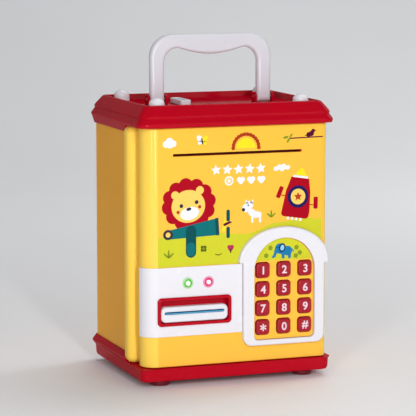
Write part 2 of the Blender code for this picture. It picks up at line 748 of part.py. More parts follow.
def make_door_shell(door):
    shell = bmesh.new()
    prism(shell, door_outline(0), "Z", DOOR_BOTTOM_Z, DOOR_TOP_Z, DOOR_EDGE, DOOR_EDGE)
    shell = add_object("door_shell", shell, "yellow_abs", door.location, door)
    hollow = bmesh.new()
    prism(hollow, door_outline(DOOR_WALL), "Z", DOOR_BOTTOM_Z + DOOR_WALL, DOOR_TOP_Z - DOOR_WALL)
    combine(shell, "DIFFERENCE", hollow)
    windows = reader_and_lamp_windows()
    block(
        windows,
        (HINGE_X, DOOR_BACK_Y - REACH, BACK_OPENING_BOTTOM_Z),
        (BACK_OPENING_RIGHT_X, DOOR_BACK_Y + REACH, BACK_OPENING_TOP_Z),
    )
    face_window(windows, (NOTE_LEFT_X, NOTE_Z - NOTE_HALF_Z), (NOTE_RIGHT_X, NOTE_Z + NOTE_HALF_Z))
    face_window(windows, KEYPAD_WINDOW_LOW, KEYPAD_WINDOW_HIGH)
    combine(shell, "DIFFERENCE", windows)
    combine(shell, "DIFFERENCE", hinge_hole(DOOR_BOTTOM_Z - REACH, DOOR_TOP_Z + REACH))


def face_window(mesh, low, high):
    """A straight cut through the door's face between two (x, z) corners."""
    block(mesh, (low[0], FACE_CUT_Y[0], low[1]), (high[0], FACE_CUT_Y[1], high[1]))


def reader_and_lamp_windows():
    """The openings that the door's face and the card panel share."""
    windows = bmesh.new()
    low = reader_corner(READER_WINDOW_STEP, -1)
    high = reader_corner(READER_WINDOW_STEP, 1)
    face_window(windows, low, high)
    for lamp_x in LAMP_X.values():
        rod(windows, "Y", lamp_x, LAMP_Z, FACE_CUT_Y, LAMP_RADIUS + LAMP_FIT, 16)
    return windows


def reader_corner(step_in, side):
    """A lower-left (-1) or upper-right (1) corner of the reader, set in from its flange."""
    height = READER_TOP_Z if side > 0 else READER_BOTTOM_Z
    return (READER_X + side * (READER_HALF_X - step_in), height - side * step_in)


def reader_outline(step_in, corner, top_step=0.0):
    left, bottom = reader_corner(step_in, -1)
    right, top = reader_corner(step_in, 1)
    return rounded(left, bottom, right, top - top_step, corner)


def card_slit(low_y, high_y, spare=0.0):
    slit = bmesh.new()
    block(
        slit,
        (READER_X - SLIT_HALF_X - spare, low_y, CARD_Z - SLIT_HALF_Z - spare),
        (READER_X + SLIT_HALF_X + spare, high_y, CARD_Z + SLIT_HALF_Z + spare),
    )
    return slit


def make_back_cover(door):
    cover = bmesh.new()
    block(
        cover,
        (HINGE_X + GAP, COVER_INNER_Y, BACK_OPENING_BOTTOM_Z + GAP),
        (BACK_OPENING_RIGHT_X - GAP, COVER_OUTER_Y, BACK_OPENING_TOP_Z - GAP),
    )
    cover = add_object("door_back_cover", cover, "yellow_abs", door.location, door)
    cuts = bmesh.new()
    half_x = GUIDE_HALF_X + GAP
    half_z = GUIDE_HALF_Z + GUIDE_FIT_Z
    cover_window(cuts, (READER_X - half_x, CARD_Z - half_z), (READER_X + half_x, CARD_Z + half_z))
    cover_window(cuts, BATTERY_DOOR_LOW, BATTERY_DOOR_HIGH)
    for step in range(-2, 3):
        middle_z = SPEAKER_Z + SLOT_PITCH * step
        half_x = SLOT_HALF_X - SLOT_TAPER * abs(step)
        low = (READER_X - half_x, middle_z - SLOT_HALF_Z)
        high = (READER_X + half_x, middle_z + SLOT_HALF_Z)
        cover_window(cuts, low, high)
    combine(cover, "DIFFERENCE", cuts)


def cover_window(mesh, low, high):
    """A straight cut through the back cover between two (x, z) corners."""
    block(mesh, (low[0], COVER_INNER_Y - REACH, low[1]), (high[0], COVER_OUTER_Y + REACH, high[1]))


def make_card_panel(door):
    """The band round the hinge corner that carries the lamps and the card reader."""
    panel = bmesh.new()
    outer = BARREL_RADIUS + DOOR_FACE_Y - PANEL_FRONT_Y
    inner = BARREL_RADIUS + GAP
    outline = (
        arc(HINGE_X, HINGE_Y, outer, PANEL_WRAP_ANGLE, 270, 8)
        + [(PANEL_RIGHT_X, PANEL_FRONT_Y), (PANEL_RIGHT_X, PANEL_BACK_Y)]
        + arc(HINGE_X, HINGE_Y, inner, 270, PANEL_WRAP_ANGLE, 8)
    )
    prism(panel, outline, "Z", PANEL_BOTTOM_Z, PANEL_TOP_Z)
    panel = add_object("card_panel", panel, "white_abs", door.location, door)
    combine(panel, "DIFFERENCE", reader_and_lamp_windows())


def make_keypad(door):
    surround = bmesh.new()
    prism(surround, surround_outline(), "Y", SURROUND_FRONT_Y, PANEL_BACK_Y, SURROUND_EDGE)
    surround = add_object("keypad_surround", surround, "white_abs", door.location, door)
    opening = bmesh.new()
    prism(opening, keypad_outline(0), "Y", *FRONT_CUT_Y)
    combine(surround, "DIFFERENCE", opening)

    plate = bmesh.new()
    prism(plate, keypad_outline(GAP), "Y", PLATE_FRONT_Y, PANEL_BACK_Y)
    plate = add_object("keypad_plate", plate, "yellow_abs", door.location, door)
    holes = bmesh.new()
    for row, names in enumerate(KEY_NAMES):
        for column, name in enumerate(names):
            centre_x = KEYPAD_X + (column - 1) * KEY_PITCH_X
            centre_z = KEY_TOP_ROW_Z - row * KEY_PITCH_Z
            prism(holes, key_outline(centre_x, centre_z, KEY_HOLE_GAP), "Y", *FRONT_CUT_Y)
            make_key(door, name, centre_x, centre_z)
    combine(plate, "DIFFERENCE", holes)

    membrane = bmesh.new()
    block(membrane, MEMBRANE_LOW, MEMBRANE_HIGH)
    add_object("key_membrane", membrane, "grey_rubber", door.location, door)
    board = bmesh.new()
    block(board, BOARD_LOW, BOARD_HIGH)
    add_object("circuit_board", board, "circuit_green", door.location, door)


def key_outline(centre_x, centre_z, grow):
    half_x = KEY_HALF_X + grow
    half_z = KEY_HALF_Z + grow
    return rounded(
        centre_x - half_x,
        centre_z - half_z,
        centre_x + half_x,
        centre_z + half_z,
        KEY_CORNER,
    )


def make_key(door, name, centre_x, centre_z):
    """A key cap with the flange that keeps it behind the plate."""
    key = bmesh.new()
    stations = (
        (KEY_BACK_Y, KEY_FLANGE),
        (KEY_SHOULDER_Y, KEY_FLANGE),
        (KEY_SHOULDER_Y, 0.0),
        (KEY_FRONT_Y + KEY_EDGE, -KEY_DRAFT),
        (KEY_FRONT_Y, -KEY_RIM),
    )
    rings = []
    for along, grow in stations:
        outline = key_outline(centre_x, centre_z, grow)
        rings.append([at("Y", u, v, along) for u, v in outline])
    skin(key, rings)
    add_object(name, key, "key_red", (centre_x, KEY_FRONT_Y, centre_z), door)


def make_lamps(door):
    for name, lamp_x in LAMP_X.items():
        lamp = bmesh.new()
        profile = [(LAMP_BACK_Y, LAMP_RADIUS), (LAMP_SPRING_Y, LAMP_RADIUS)]
        for angle in (25, 50, 75):
            rise = LAMP_RISE * math.sin(math.radians(angle))
            profile.append((LAMP_SPRING_Y - rise, LAMP_RADIUS * math.cos(math.radians(angle))))
        turned(lamp, "Y", lamp_x, LAMP_Z, profile, 16)
        finish = "green_lens" if name == "lamp_green" else "red_lens"
        add_object(name, lamp, finish, (lamp_x, LAMP_SPRING_Y, LAMP_Z), door, smooth=True)


def make_reader(door):
    flange = bmesh.new()
    flange_back_y = PANEL_FRONT_Y - GAP
    prism(flange, reader_outline(*READER_FLANGE), "Y", READER_FRONT_Y, flange_back_y, READER_EDGE)
    flange = add_object("reader_frame", flange, "red_abs", door.location, door)
    sleeve = bmesh.new()
    prism(sleeve, reader_outline(*READER_SLEEVE), "Y", *READER_SLEEVE_Y)
    combine(flange, "UNION", sleeve)
    well = bmesh.new()
    prism(well, reader_outline(*READER_WELL), "Y", FRONT_CUT_Y[0], READER_WELL_FLOOR_Y)
    combine(flange, "DIFFERENCE", well)
    combine(flange, "DIFFERENCE", card_slit(*FRONT_CUT_Y))

    insert = bmesh.new()
    prism(insert, reader_outline(*READER_INSERT), "Y", *READER_INSERT_Y, READER_INSERT_EDGE)
    insert = add_object("reader_insert", insert, "white_abs", door.location, door)
    combine(insert, "DIFFERENCE", card_slit(*FRONT_CUT_Y))

    guide = bmesh.new()
    block(
        guide,
        (READER_X - GUIDE_HALF_X, GUIDE_FRONT_Y, CARD_Z - GUIDE_HALF_Z),
        (READER_X + GUIDE_HALF_X, GUIDE_BACK_Y, CARD_Z + GUIDE_HALF_Z),
    )
    guide = add_object("card_guide", guide, "grey_abs", door.location, door)
    combine(guide, "DIFFERENCE", card_slit(GUIDE_FRONT_Y - REACH, GUIDE_SLIT_BACK_Y, GUIDE_SPARE))

    card = bmesh.new()
    half_width = CARD_WIDTH / 2
    outline = rounded(
        READER_X - half_width,
        CARD_FRONT_Y,
        READER_X + half_width,
        CARD_FRONT_Y + CARD_LENGTH,
        CARD_CORNER,
        4,
    )
    prism(card, outline, "Z", CARD_Z - CARD_THICKNESS / 2, CARD_Z + CARD_THICKNESS / 2)
    add_object("bank_card", card, "card_pvc", (READER_X, CARD_FRONT_Y, CARD_Z), door)


# --- note feeder --------------------------------------------------------------------------------
def roller_mesh(centre_z, shaft_right_x):
    """A rubber-covered roller with its shaft in one piece."""
    roller = bmesh.new()
    profile = (
        (ROLLER_SHAFT_LEFT_X, ROLLER_SHAFT_RADIUS),
        (ROLLER_LEFT_X, ROLLER_SHAFT_RADIUS),
        (ROLLER_LEFT_X, ROLLER_RADIUS),
        (ROLLER_RIGHT_X, ROLLER_RADIUS),
        (ROLLER_RIGHT_X, ROLLER_SHAFT_RADIUS),
        (shaft_right_x, ROLLER_SHAFT_RADIUS),
    )
    turned(roller, "X", ROLLER_Y, centre_z, profile, 16)
    return roller


def make_feeder(door):
    housing = bmesh.new()
    block(housing, FEEDER_LOW, FEEDER_HIGH)
    housing = add_object("note_feeder_housing", housing, "dark_red_abs", door.location, door)
    cuts = bmesh.new()
    block(cuts, FEEDER_ROOM_LOW, FEEDER_ROOM_HIGH)
    combine(housing, "DIFFERENCE", cuts)
    slit = bmesh.new()
    block(
        slit,
        (NOTE_LEFT_X + FEEDER_SLIT_STEP, FRONT_CUT_Y[0], NOTE_Z - NOTE_HALF_Z),
        (NOTE_RIGHT_X - FEEDER_SLIT_STEP, FRONT_CUT_Y[1], NOTE_Z + NOTE_HALF_Z),
    )
    combine(housing, "DIFFERENCE", slit)
    bores = bmesh.new()
    ends = (FEEDER_LOW[0] - REACH, FEEDER_HIGH[0] + REACH)
    for centre_z in (FEED_ROLLER_Z, IDLER_ROLLER_Z):
        rod(bores, "X", ROLLER_Y, centre_z, ends, ROLLER_SHAFT_RADIUS + GAP)
    combine(housing, "DIFFERENCE", bores)

    feed = roller_mesh(FEED_ROLLER_Z, FEED_SHAFT_RIGHT_X)
    add_object("feed_roller", feed, "black_rubber", (0, ROLLER_Y, FEED_ROLLER_Z), door, smooth=True)
    idler = roller_mesh(IDLER_ROLLER_Z, IDLER_SHAFT_RIGHT_X)
    add_object("idler_roller", idler, "black_rubber", (0, ROLLER_Y, IDLER_ROLLER_Z), door, smooth=True)

    module = 2 * GEAR_CENTRES / (GEAR_TEETH + PINION_TEETH)
    gear = bmesh.new()
    towards_pinion = -math.pi / 2
    outline = gear_outline(ROLLER_Y, FEED_ROLLER_Z, GEAR_TEETH, module, towards_pinion)
    prism(gear, outline, "X", *GEAR_X)
    add_object("roller_gear", gear, "white_acetal", (GEAR_X[0], ROLLER_Y, FEED_ROLLER_Z), door)
    pinion = bmesh.new()
    half_tooth = math.pi / PINION_TEETH
    outline = gear_outline(ROLLER_Y, MOTOR_Z, PINION_TEETH, module, math.pi / 2 + half_tooth)
    prism(pinion, outline, "X", *PINION_X)
    add_object("motor_pinion", pinion, "white_acetal", (PINION_X[0], ROLLER_Y, MOTOR_Z), door)

    motor = bmesh.new()
    profile = (
        (0.0420, 0.0025),
        (0.0432, 0.0025),
        (0.0432, 0.0060),
        (0.0600, 0.0060),
        (0.0600, 0.0022),
        (0.0615, 0.0022),
        (0.0615, 0.0010),
        (0.0645, 0.0010),
    )
    turned(motor, "X", ROLLER_Y, MOTOR_Z, profile, 20)
    add_object("feed_motor", motor, "steel", (0.0432, ROLLER_Y, MOTOR_Z), door, smooth=True)


# --- power, sound and latch ---------------------------------------------------------------------
def make_battery_bay(door):
    bay = bmesh.new()
    block(bay, BATTERY_BOX_LOW, BATTERY_BOX_HIGH)
    bay = add_object("battery_box", bay, "grey_abs", door.location, door)
    cuts = bmesh.new()
    block(cuts, BATTERY_ROOM_LOW, BATTERY_ROOM_HIGH)
    rod(cuts, "Y", SCREW_X, BATTERY_MIDDLE_Z, (-0.0560, -0.0400), SCREW_HOLE_RADIUS)
    combine(bay, "DIFFERENCE", cuts)
    for index, step in enumerate((-1, 0, 1), 1):
        battery = bmesh.new()
        centre_z = BATTERY_MIDDLE_Z + step * BATTERY_PITCH
        left = BATTERY_X - BATTERY_LENGTH / 2
        right = left + BATTERY_LENGTH
        profile = (
            (left, BATTERY_RADIUS),
            (right - BATTERY_NUB_LENGTH, BATTERY_RADIUS),
            (right - BATTERY_NUB_LENGTH, BATTERY_NUB_RADIUS),
            (right, BATTERY_NUB_RADIUS),
        )
        turned(battery, "X", BATTERY_Y, centre_z, profile, 16)
        origin = (left, BATTERY_Y, centre_z)
        add_object(f"battery_{index}", battery, "battery_foil", origin, door, smooth=True)
    cover = bmesh.new()
    block(
        cover,
        (BATTERY_DOOR_LOW[0] + GAP, COVER_INNER_Y + GAP, BATTERY_DOOR_LOW[1] + GAP),
        (BATTERY_DOOR_HIGH[0] - GAP, COVER_OUTER_Y, BATTERY_DOOR_HIGH[1] - GAP),
    )
    cover = add_object("battery_cover", cover, "yellow_abs", door.location, door)
    hole = bmesh.new()
    profile = ((-0.0500, SCREW_HOLE_RADIUS), (-0.0440, SCREW_HOLE_RADIUS), (-0.0424, 0.0034))
    turned(hole, "Y", SCREW_X, BATTERY_MIDDLE_Z, profile, 12)
    combine(cover, "DIFFERENCE", hole)
    screw = bmesh.new()
    profile = ((-0.0550, 0.0014), (-0.0440, 0.0014), (-0.0428, 0.0026))
    turned(screw, "Y", SCREW_X, BATTERY_MIDDLE_Z, profile, 12)
    origin = (SCREW_X, COVER_OUTER_Y, BATTERY_MIDDLE_Z)
    add_object("battery_screw", screw, "steel", origin, door, smooth=True)


def make_speaker(door):
    speaker = bmesh.new()
    profile = (
        (-0.0560, 0.0085),
        (-0.0510, 0.0085),
        (-0.0510, 0.0120),
        (-0.0465, 0.0180),
        (SPEAKER_BACK_Y, 0.0180),
    )
    turned(speaker, "Y", READER_X, SPEAKER_Z, profile, 24)
    origin = (READER_X, SPEAKER_BACK_Y, SPEAKER_Z)
    add_object("speaker", speaker, "grey_abs", origin, door, smooth=True)


def make_latch(door):
    housing = bmesh.new()
    block(
        housing,
        (LATCH_LEFT_X, LATCH_DOOR_Y, BOLT_Z - LATCH_HALF_Z),
        (LATCH_RIGHT_X, LATCH_INNER_Y, BOLT_Z + LATCH_HALF_Z),
    )
    housing = add_object("latch_housing", housing, "grey_abs", door.location, door)
    channel = bmesh.new()
    half_y = BOLT_HALF_Y + BOLT_FIT
    half_z = BOLT_HALF_Z + BOLT_FIT
    block(
        channel,
        (BOLT_CHANNEL_LEFT_X, BOLT_Y - half_y, BOLT_Z - half_z),
        (LATCH_RIGHT_X + REACH, BOLT_Y + half_y, BOLT_Z + half_z),
    )
    combine(housing, "DIFFERENCE", channel)
    bolt = bmesh.new()
    outline = rounded(
        BOLT_Y - BOLT_HALF_Y,
        BOLT_Z - BOLT_HALF_Z,
        BOLT_Y + BOLT_HALF_Y,
        BOLT_Z + BOLT_HALF_Z,
        BOLT_CORNER,
        2,
    )
    prism(bolt, outline, "X", BOLT_LEFT_X, BOLT_RIGHT_X, 0.0, BOLT_EDGE)
    add_object("latch_bolt", bolt, "steel", (BOLT_LEFT_X, BOLT_Y, BOLT_Z), door)


def make_door():
    door = add_axis("door_hinge_line", (HINGE_X, HINGE_Y, 0))
    make_door_shell(door)
    make_back_cover(door)
    make_card_panel(door)
    make_keypad(door)
    make_lamps(door)
    make_reader(door)
    make_feeder(door)
    make_battery_bay(door)
    make_speaker(door)
    make_latch(door)


def main():
    for found in list(bpy.data.objects):
        bpy.data.objects.remove(found)
    make_base()
    make_feet()
    make_case()
    make_lid()
    make_lid_fittings()
    make_handle()
    make_hinge_pins()
    make_door()


main()
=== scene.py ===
"""Looks of the toy ATM savings bank: fine shells, printed pictures, materials, stage and camera."""

import json
from math import asin, atan2, cos, degrees, pi, radians, sin, sqrt, tau

import bmesh
import bpy
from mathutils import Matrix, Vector


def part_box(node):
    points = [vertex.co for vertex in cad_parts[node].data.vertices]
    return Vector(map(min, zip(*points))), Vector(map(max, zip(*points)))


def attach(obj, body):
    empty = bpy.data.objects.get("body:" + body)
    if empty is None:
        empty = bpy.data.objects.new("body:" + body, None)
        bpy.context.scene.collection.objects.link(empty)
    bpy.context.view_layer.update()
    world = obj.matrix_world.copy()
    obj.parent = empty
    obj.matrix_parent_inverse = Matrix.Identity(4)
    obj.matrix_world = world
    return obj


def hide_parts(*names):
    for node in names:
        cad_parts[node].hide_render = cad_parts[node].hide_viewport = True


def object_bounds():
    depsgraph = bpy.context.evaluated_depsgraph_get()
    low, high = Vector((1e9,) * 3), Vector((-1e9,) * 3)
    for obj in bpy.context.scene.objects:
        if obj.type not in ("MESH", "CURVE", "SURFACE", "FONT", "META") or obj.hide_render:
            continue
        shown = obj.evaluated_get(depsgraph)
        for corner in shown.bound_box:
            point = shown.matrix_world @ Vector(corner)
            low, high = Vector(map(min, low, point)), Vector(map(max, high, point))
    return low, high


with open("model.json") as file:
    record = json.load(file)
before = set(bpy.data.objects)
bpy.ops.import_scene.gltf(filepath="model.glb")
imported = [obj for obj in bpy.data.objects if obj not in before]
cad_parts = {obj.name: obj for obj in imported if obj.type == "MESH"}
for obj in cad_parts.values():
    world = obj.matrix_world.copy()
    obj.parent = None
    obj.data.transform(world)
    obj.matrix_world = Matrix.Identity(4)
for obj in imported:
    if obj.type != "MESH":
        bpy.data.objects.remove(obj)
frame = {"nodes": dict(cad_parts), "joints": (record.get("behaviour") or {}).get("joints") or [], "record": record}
CAD_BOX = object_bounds()
BODIES = frame["record"]["behaviour"]["bodies"]
NODE_BODY = {node: body for body, nodes in BODIES.items() for node in nodes}
NODE_SLOT = {row["node"]: row["material_slot"] for row in frame["record"]["subparts"]}

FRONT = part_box("door_shell")[0].y
PANEL_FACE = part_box("card_panel")[0].y
PLATE_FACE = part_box("keypad_plate")[0].y
DECAL_DEPTH = 0.00004  # thickness of one layer of print
BARREL_LIGHT_EDGE_X = -0.0728  # where the door's plain yellow front starts; the barrel beside it keeps the lighter yellow, painted light
GAP = 0.0003  # clearance between fitted pieces


# --- outlines ---
def arc(centre_u, centre_v, radius, start, end, steps):
    """Points on an arc in degrees, both ends included."""
    points = []
    for step in range(steps + 1):
        angle = radians(start + (end - start) * step / steps)
        points.append((centre_u + radius * cos(angle), centre_v + radius * sin(angle)))
    return points


def circle(centre_u, centre_v, radius, steps=40):
    return arc(centre_u, centre_v, radius, 0, 360, steps)[:-1]


def ellipse(centre_u, centre_v, radius_u, radius_v, turn=0.0, steps=40):
    points = []
    cosine = cos(radians(turn))
    sine = sin(radians(turn))
    for u, v in circle(0, 0, 1, steps):
        along = u * radius_u
        across = v * radius_v
        points.append(
            (centre_u + along * cosine - across * sine, centre_v + along * sine + across * cosine)
        )
    return points


def rounded(left, bottom, right, top, radius, steps=8):
    """A rectangle with round corners, anticlockwise."""
    return (
        arc(right - radius, bottom + radius, radius, -90, 0, steps)
        + arc(right - radius, top - radius, radius, 0, 90, steps)
        + arc(left + radius, top - radius, radius, 90, 180, steps)
        + arc(left + radius, bottom + radius, radius, 180, 270, steps)
    )


def inset(outline, distance):
    """An anticlockwise outline moved inwards along its corners' bisectors."""
    moved = []
    for index, (u, v) in enumerate(outline):
        before = outline[index - 1]
        after = outline[(index + 1) % len(outline)]
        first = Vector((u - before[0], v - before[1])).normalized()
        second = Vector((after[0] - u, after[1] - v)).normalized()
        bisector = Vector((-first.y - second.y, first.x + second.x)).normalized()
        reach = distance / max(0.4, bisector.dot(Vector((-first.y, first.x))))
        moved.append((u + bisector.x * reach, v + bisector.y * reach))
    return moved


def blob(centre, circles, steps=96):
    """The outline of overlapping circles, as seen along rays from a centre that all of them meet."""
    points = []
    for step in range(steps):
        angle = tau * step / steps
        ray = Vector((cos(angle), sin(angle)))
        farthest = 0.0
        for u, v, radius in circles:
            offset = Vector((u - centre[0], v - centre[1]))
            along = offset.dot(ray)
            miss = offset.length_squared - along * along
            if miss < radius * radius:
                farthest = max(farthest, along + sqrt(radius * radius - miss))
        points.append((centre[0] + ray.x * farthest, centre[1] + ray.y * farthest))
    return points


def star(centre_u, centre_v, radius, points=5, waist=0.5, turn=90):
    outline = []
    for index in range(points * 2):
        reach = radius if index % 2 == 0 else radius * waist
        angle = radians(turn + 180 * index / points)
        outline.append((centre_u + reach * cos(angle), centre_v + reach * sin(angle)))
    return outline


def bar(start, end, width, steps=6):
    """A straight stroke with round ends."""
    heading = degrees(atan2(end[1] - start[1], end[0] - start[0]))
    half = width / 2
    return arc(
        *start, half, heading + 90, heading + 270, steps
    ) + arc(*end, half, heading - 90, heading + 90, steps)


def moved(outline, centre, turn=0.0, scale=1.0):
    """An outline drawn round (0, 0), turned in degrees, scaled and set down at a centre."""
    cosine = cos(radians(turn)) * scale
    sine = sin(radians(turn)) * scale
    return [(centre[0] + u * cosine - v * sine, centre[1] + u * sine + v * cosine) for u, v in outline]


def wave(knots, steps=8):
    """A smooth line through given knots, eased between one and the next."""
    line = []
    for (u0, v0), (u1, v1) in zip(knots, knots[1:]):
        for step in range(steps):
            share = step / steps
            ease = (1 - cos(pi * share)) / 2
            line.append((u0 + (u1 - u0) * share, v0 + (v1 - v0) * ease))
    return line + [knots[-1]]


# --- solids ---
def at(axis, u, v, along):
    """A point whose outline coordinates u, v lie across the axis: (y, z), (x, z) or (x, y)."""
    return {"X": Vector((along, u, v)), "Y": Vector((u, along, v)), "Z": Vector((u, v, along))}[axis]


def skin(mesh, rings):
    """Joins rings of equal count with faces, and closes both ends."""
    rows = [[mesh.verts.new(point) for point in ring] for ring in rings]
    faces = [mesh.faces.new(rows[0]), mesh.faces.new(rows[-1])]
    for lower, upper in zip(rows, rows[1:]):
        for index in range(len(lower)):
            after = (index + 1) % len(lower)
            faces.append(mesh.faces.new((lower[index], lower[after], upper[after], upper[index])))
    bmesh.ops.recalc_face_normals(mesh, faces=faces)


def prism(mesh, outline, axis, low, high, round_low=0.0, round_high=0.0, steps=4):
    """An outline drawn along an axis, its end edges rounded to the given radii."""
    stations = []
    for step in range(steps + 1 if round_low else 1):
        angle = pi / 2 * step / steps
        stations.append((low + round_low * (1 - cos(angle)), round_low * (1 - sin(angle))))
    for step in range(steps + 1 if round_high else 1):
        angle = pi / 2 * (1 - step / steps)
        stations.append((high - round_high * (1 - cos(angle)), round_high * (1 - sin(angle))))
    rings = []
    for along, shrink in stations:
        ring = inset(outline, shrink) if shrink > 1e-7 else outline
        rings.append([at(axis, u, v, along) for u, v in ring])
    skin(mesh, rings)


def drawn(*facts):
    """A new mesh that holds one prism."""
    mesh = bmesh.new()
    prism(mesh, *facts)
    return mesh


def block(low, high):
    outline = [(low[0], low[1]), (high[0], low[1]), (high[0], high[1]), (low[0], high[1])]
    return drawn(outline, "Z", low[2], high[2])


def turned(mesh, axis, centre_u, centre_v, profile, steps=40):
    """A round piece from (distance along the axis, radius) pairs."""
    skin(
        mesh,
        [
            [at(axis, u, v, along) for u, v in circle(centre_u, centre_v, radius, steps)]
            for along, radius in profile
        ],
    )


def lathed(*facts):
    """A new mesh that holds one round piece."""
    mesh = bmesh.new()
    turned(mesh, *facts)
    return mesh


def dome(base, height, radius, steps=8):
    """Profile pairs of a low dome that starts at base and rises by height, along its own axis."""
    pairs = []
    for step in range(steps):
        angle = pi / 2 * step / steps
        pairs.append((base + height * sin(angle), radius * cos(angle)))
    return pairs


def add_object(name, data):
    made = bpy.data.objects.new(name, data)
    bpy.context.scene.collection.objects.link(made)
    return made


def add_mesh(name, mesh):
    """An object that holds the mesh, which is used up."""
    made = add_object(name, bpy.data.meshes.new(name))
    mesh.to_mesh(made.data)
    mesh.free()
    return made


def evaluated_mesh(thing):
    """What an object shows after its modifiers, as a new mesh."""
    bpy.context.view_layer.update()
    evaluated = thing.evaluated_get(bpy.context.evaluated_depsgraph_get())
    mesh = bmesh.new()
    mesh.from_mesh(evaluated.to_mesh())
    evaluated.to_mesh_clear()
    return mesh


def cut(mesh, *cutters, operation="DIFFERENCE"):
    """The mesh with each cutter taken away, or joined on, as a new mesh."""
    target = add_mesh("cutting", mesh)
    helpers = []
    for cutter in cutters:
        helper = add_mesh("cutter", cutter)
        helpers.append(helper)
        modifier = target.modifiers.new("cut", "BOOLEAN")
        modifier.operation = operation
        modifier.object = helper
        modifier.solver = "EXACT"
    result = evaluated_mesh(target)
    for used in [target, *helpers]:
        data = used.data
        bpy.data.objects.remove(used)
        bpy.data.meshes.remove(data)
    bmesh.ops.dissolve_limit(
        result, angle_limit=radians(0.5), verts=result.verts, edges=result.edges
    )
    return result


def piece(name, mesh, finish, body, nodes=(), slot=None, edge=0.0, edge_angle=30, smooth_angle=32):
    """A finished piece: smooth-shaded, its hard edges rounded, riding on a CAD body."""
    made = add_mesh(name, mesh)
    made.data.materials.append(finish)
    if edge:
        bevel = made.modifiers.new("edges", "BEVEL")
        bevel.width = edge
        bevel.segments = 3
        bevel.limit_method = "ANGLE"
        bevel.angle_limit = radians(edge_angle)
        bevel.use_clamp_overlap = True
    made.data.shade_smooth()
    made.data.set_sharp_from_angle(angle=radians(180 if edge else smooth_angle))
    normals = made.modifiers.new("normals", "WEIGHTED_NORMAL")
    normals.keep_sharp = True
    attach(made, body)
    if nodes:
        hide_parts(*nodes)
    return made


def stands_for(node, mesh, finish, **facts):
    """A finer piece in place of one CAD node, on that node's body."""
    return piece(node + "_shell", mesh, FINISH[finish], NODE_BODY[node], (node,), **facts)


def softened(node, finish, edge=0.0003):
    """A copy of a CAD node with its flat faces whole and its edges rounded."""
    mesh = bmesh.new()
    mesh.from_mesh(frame["nodes"][node].data)
    bmesh.ops.remove_doubles(mesh, verts=mesh.verts, dist=1e-6)
    bmesh.ops.dissolve_limit(mesh, angle_limit=radians(1), verts=mesh.verts, edges=mesh.edges)
    return stands_for(node, mesh, finish, edge=edge)


# --- materials ---
def new_material(name):
    made = bpy.data.materials.new(name)
    made.use_nodes = True
    return made, made.node_tree, made.node_tree.nodes["Principled BSDF"]


def put(node, socket, value):
    node.inputs[socket].default_value = value


def feed(shader, socket, value):
    """Links a number or a colour to one of the shader's sockets."""
    shader.id_data.links.new(value, shader.inputs[socket])


def feed_place(tree, node):
    """Gives a node the object's own coordinates."""
    place = tree.nodes.new("ShaderNodeTexCoord")
    tree.links.new(place.outputs["Object"], node.inputs["Vector"])


def noise(tree, scale, detail=3.0, stretch=(1, 1, 1)):
    """Noise over the object's own coordinates, in cells per metre."""
    mapping = tree.nodes.new("ShaderNodeMapping")
    put(mapping, "Scale", stretch)
    feed_place(tree, mapping)
    texture = tree.nodes.new("ShaderNodeTexNoise")
    put(texture, "Scale", scale)
    put(texture, "Detail", detail)
    tree.links.new(mapping.outputs["Vector"], texture.inputs["Vector"])
    return texture.outputs["Fac"]


def remap(tree, value, low, high, out_low, out_high):
    node = tree.nodes.new("ShaderNodeMapRange")
    put(node, "From Min", low)
    put(node, "From Max", high)
    put(node, "To Min", out_low)
    put(node, "To Max", out_high)
    tree.links.new(value, node.inputs["Value"])
    return node.outputs["Result"]


def spread(tree, value, low, high):
    """The middle of a noise's range stretched over low to high."""
    return remap(tree, value, 0.3, 0.7, low, high)


def blend_colours(tree, factor, first, second):
    node = tree.nodes.new("ShaderNodeMix")
    node.data_type = "RGBA"
    put(node, "A", (*first, 1))
    put(node, "B", (*second, 1))
    tree.links.new(factor, node.inputs["Factor"])
    return node.outputs["Result"]


def scaled(colour, factor):
    return tuple(min(1.0, channel * factor) for channel in colour)


def add_bump(tree, shader, height, strength, distance):
    bump = tree.nodes.new("ShaderNodeBump")
    put(bump, "Strength", strength)
    put(bump, "Distance", distance)
    tree.links.new(height, bump.inputs["Height"])
    if shader.inputs["Normal"].is_linked:
        tree.links.new(shader.inputs["Normal"].links[0].from_socket, bump.inputs["Normal"])
    feed(shader, "Normal", bump.outputs["Normal"])


def plastic(name, colour, roughness=0.3, gloss=0.28, coat=0.0, drift=0.03, grain=0.04, subsurface=0.0):
    """Moulded plastic: a faint flow drift in the colour, smudged gloss, fine grain and hairline rubs."""
    made, tree, shader = new_material(name)
    flow = spread(tree, noise(tree, 9, 1.0, (1, 1, 0.5)), 0, 1)
    shade = blend_colours(tree, flow, scaled(colour, 1 - drift), scaled(colour, 1 + drift))
    feed(shader, "Base Color", shade)
    smudge = noise(tree, 30, 4.0)
    feed(shader, "Roughness", remap(tree, smudge, 0.3, 0.75, roughness - 0.04, roughness + 0.06))
    put(shader, "Specular IOR Level", gloss)
    put(shader, "Coat Weight", coat)
    put(shader, "Coat Roughness", 0.08)
    if subsurface:
        put(shader, "Subsurface Weight", subsurface)
        put(shader, "Subsurface Radius", (0.004, 0.003, 0.002))
        put(shader, "Subsurface Scale", 1.0)
    add_bump(tree, shader, noise(tree, 2400, 2.0), grain, 0.00005)
    add_bump(tree, shader, noise(tree, 500, 4.0, (1, 1, 9)), 0.012, 0.00004)
    return made


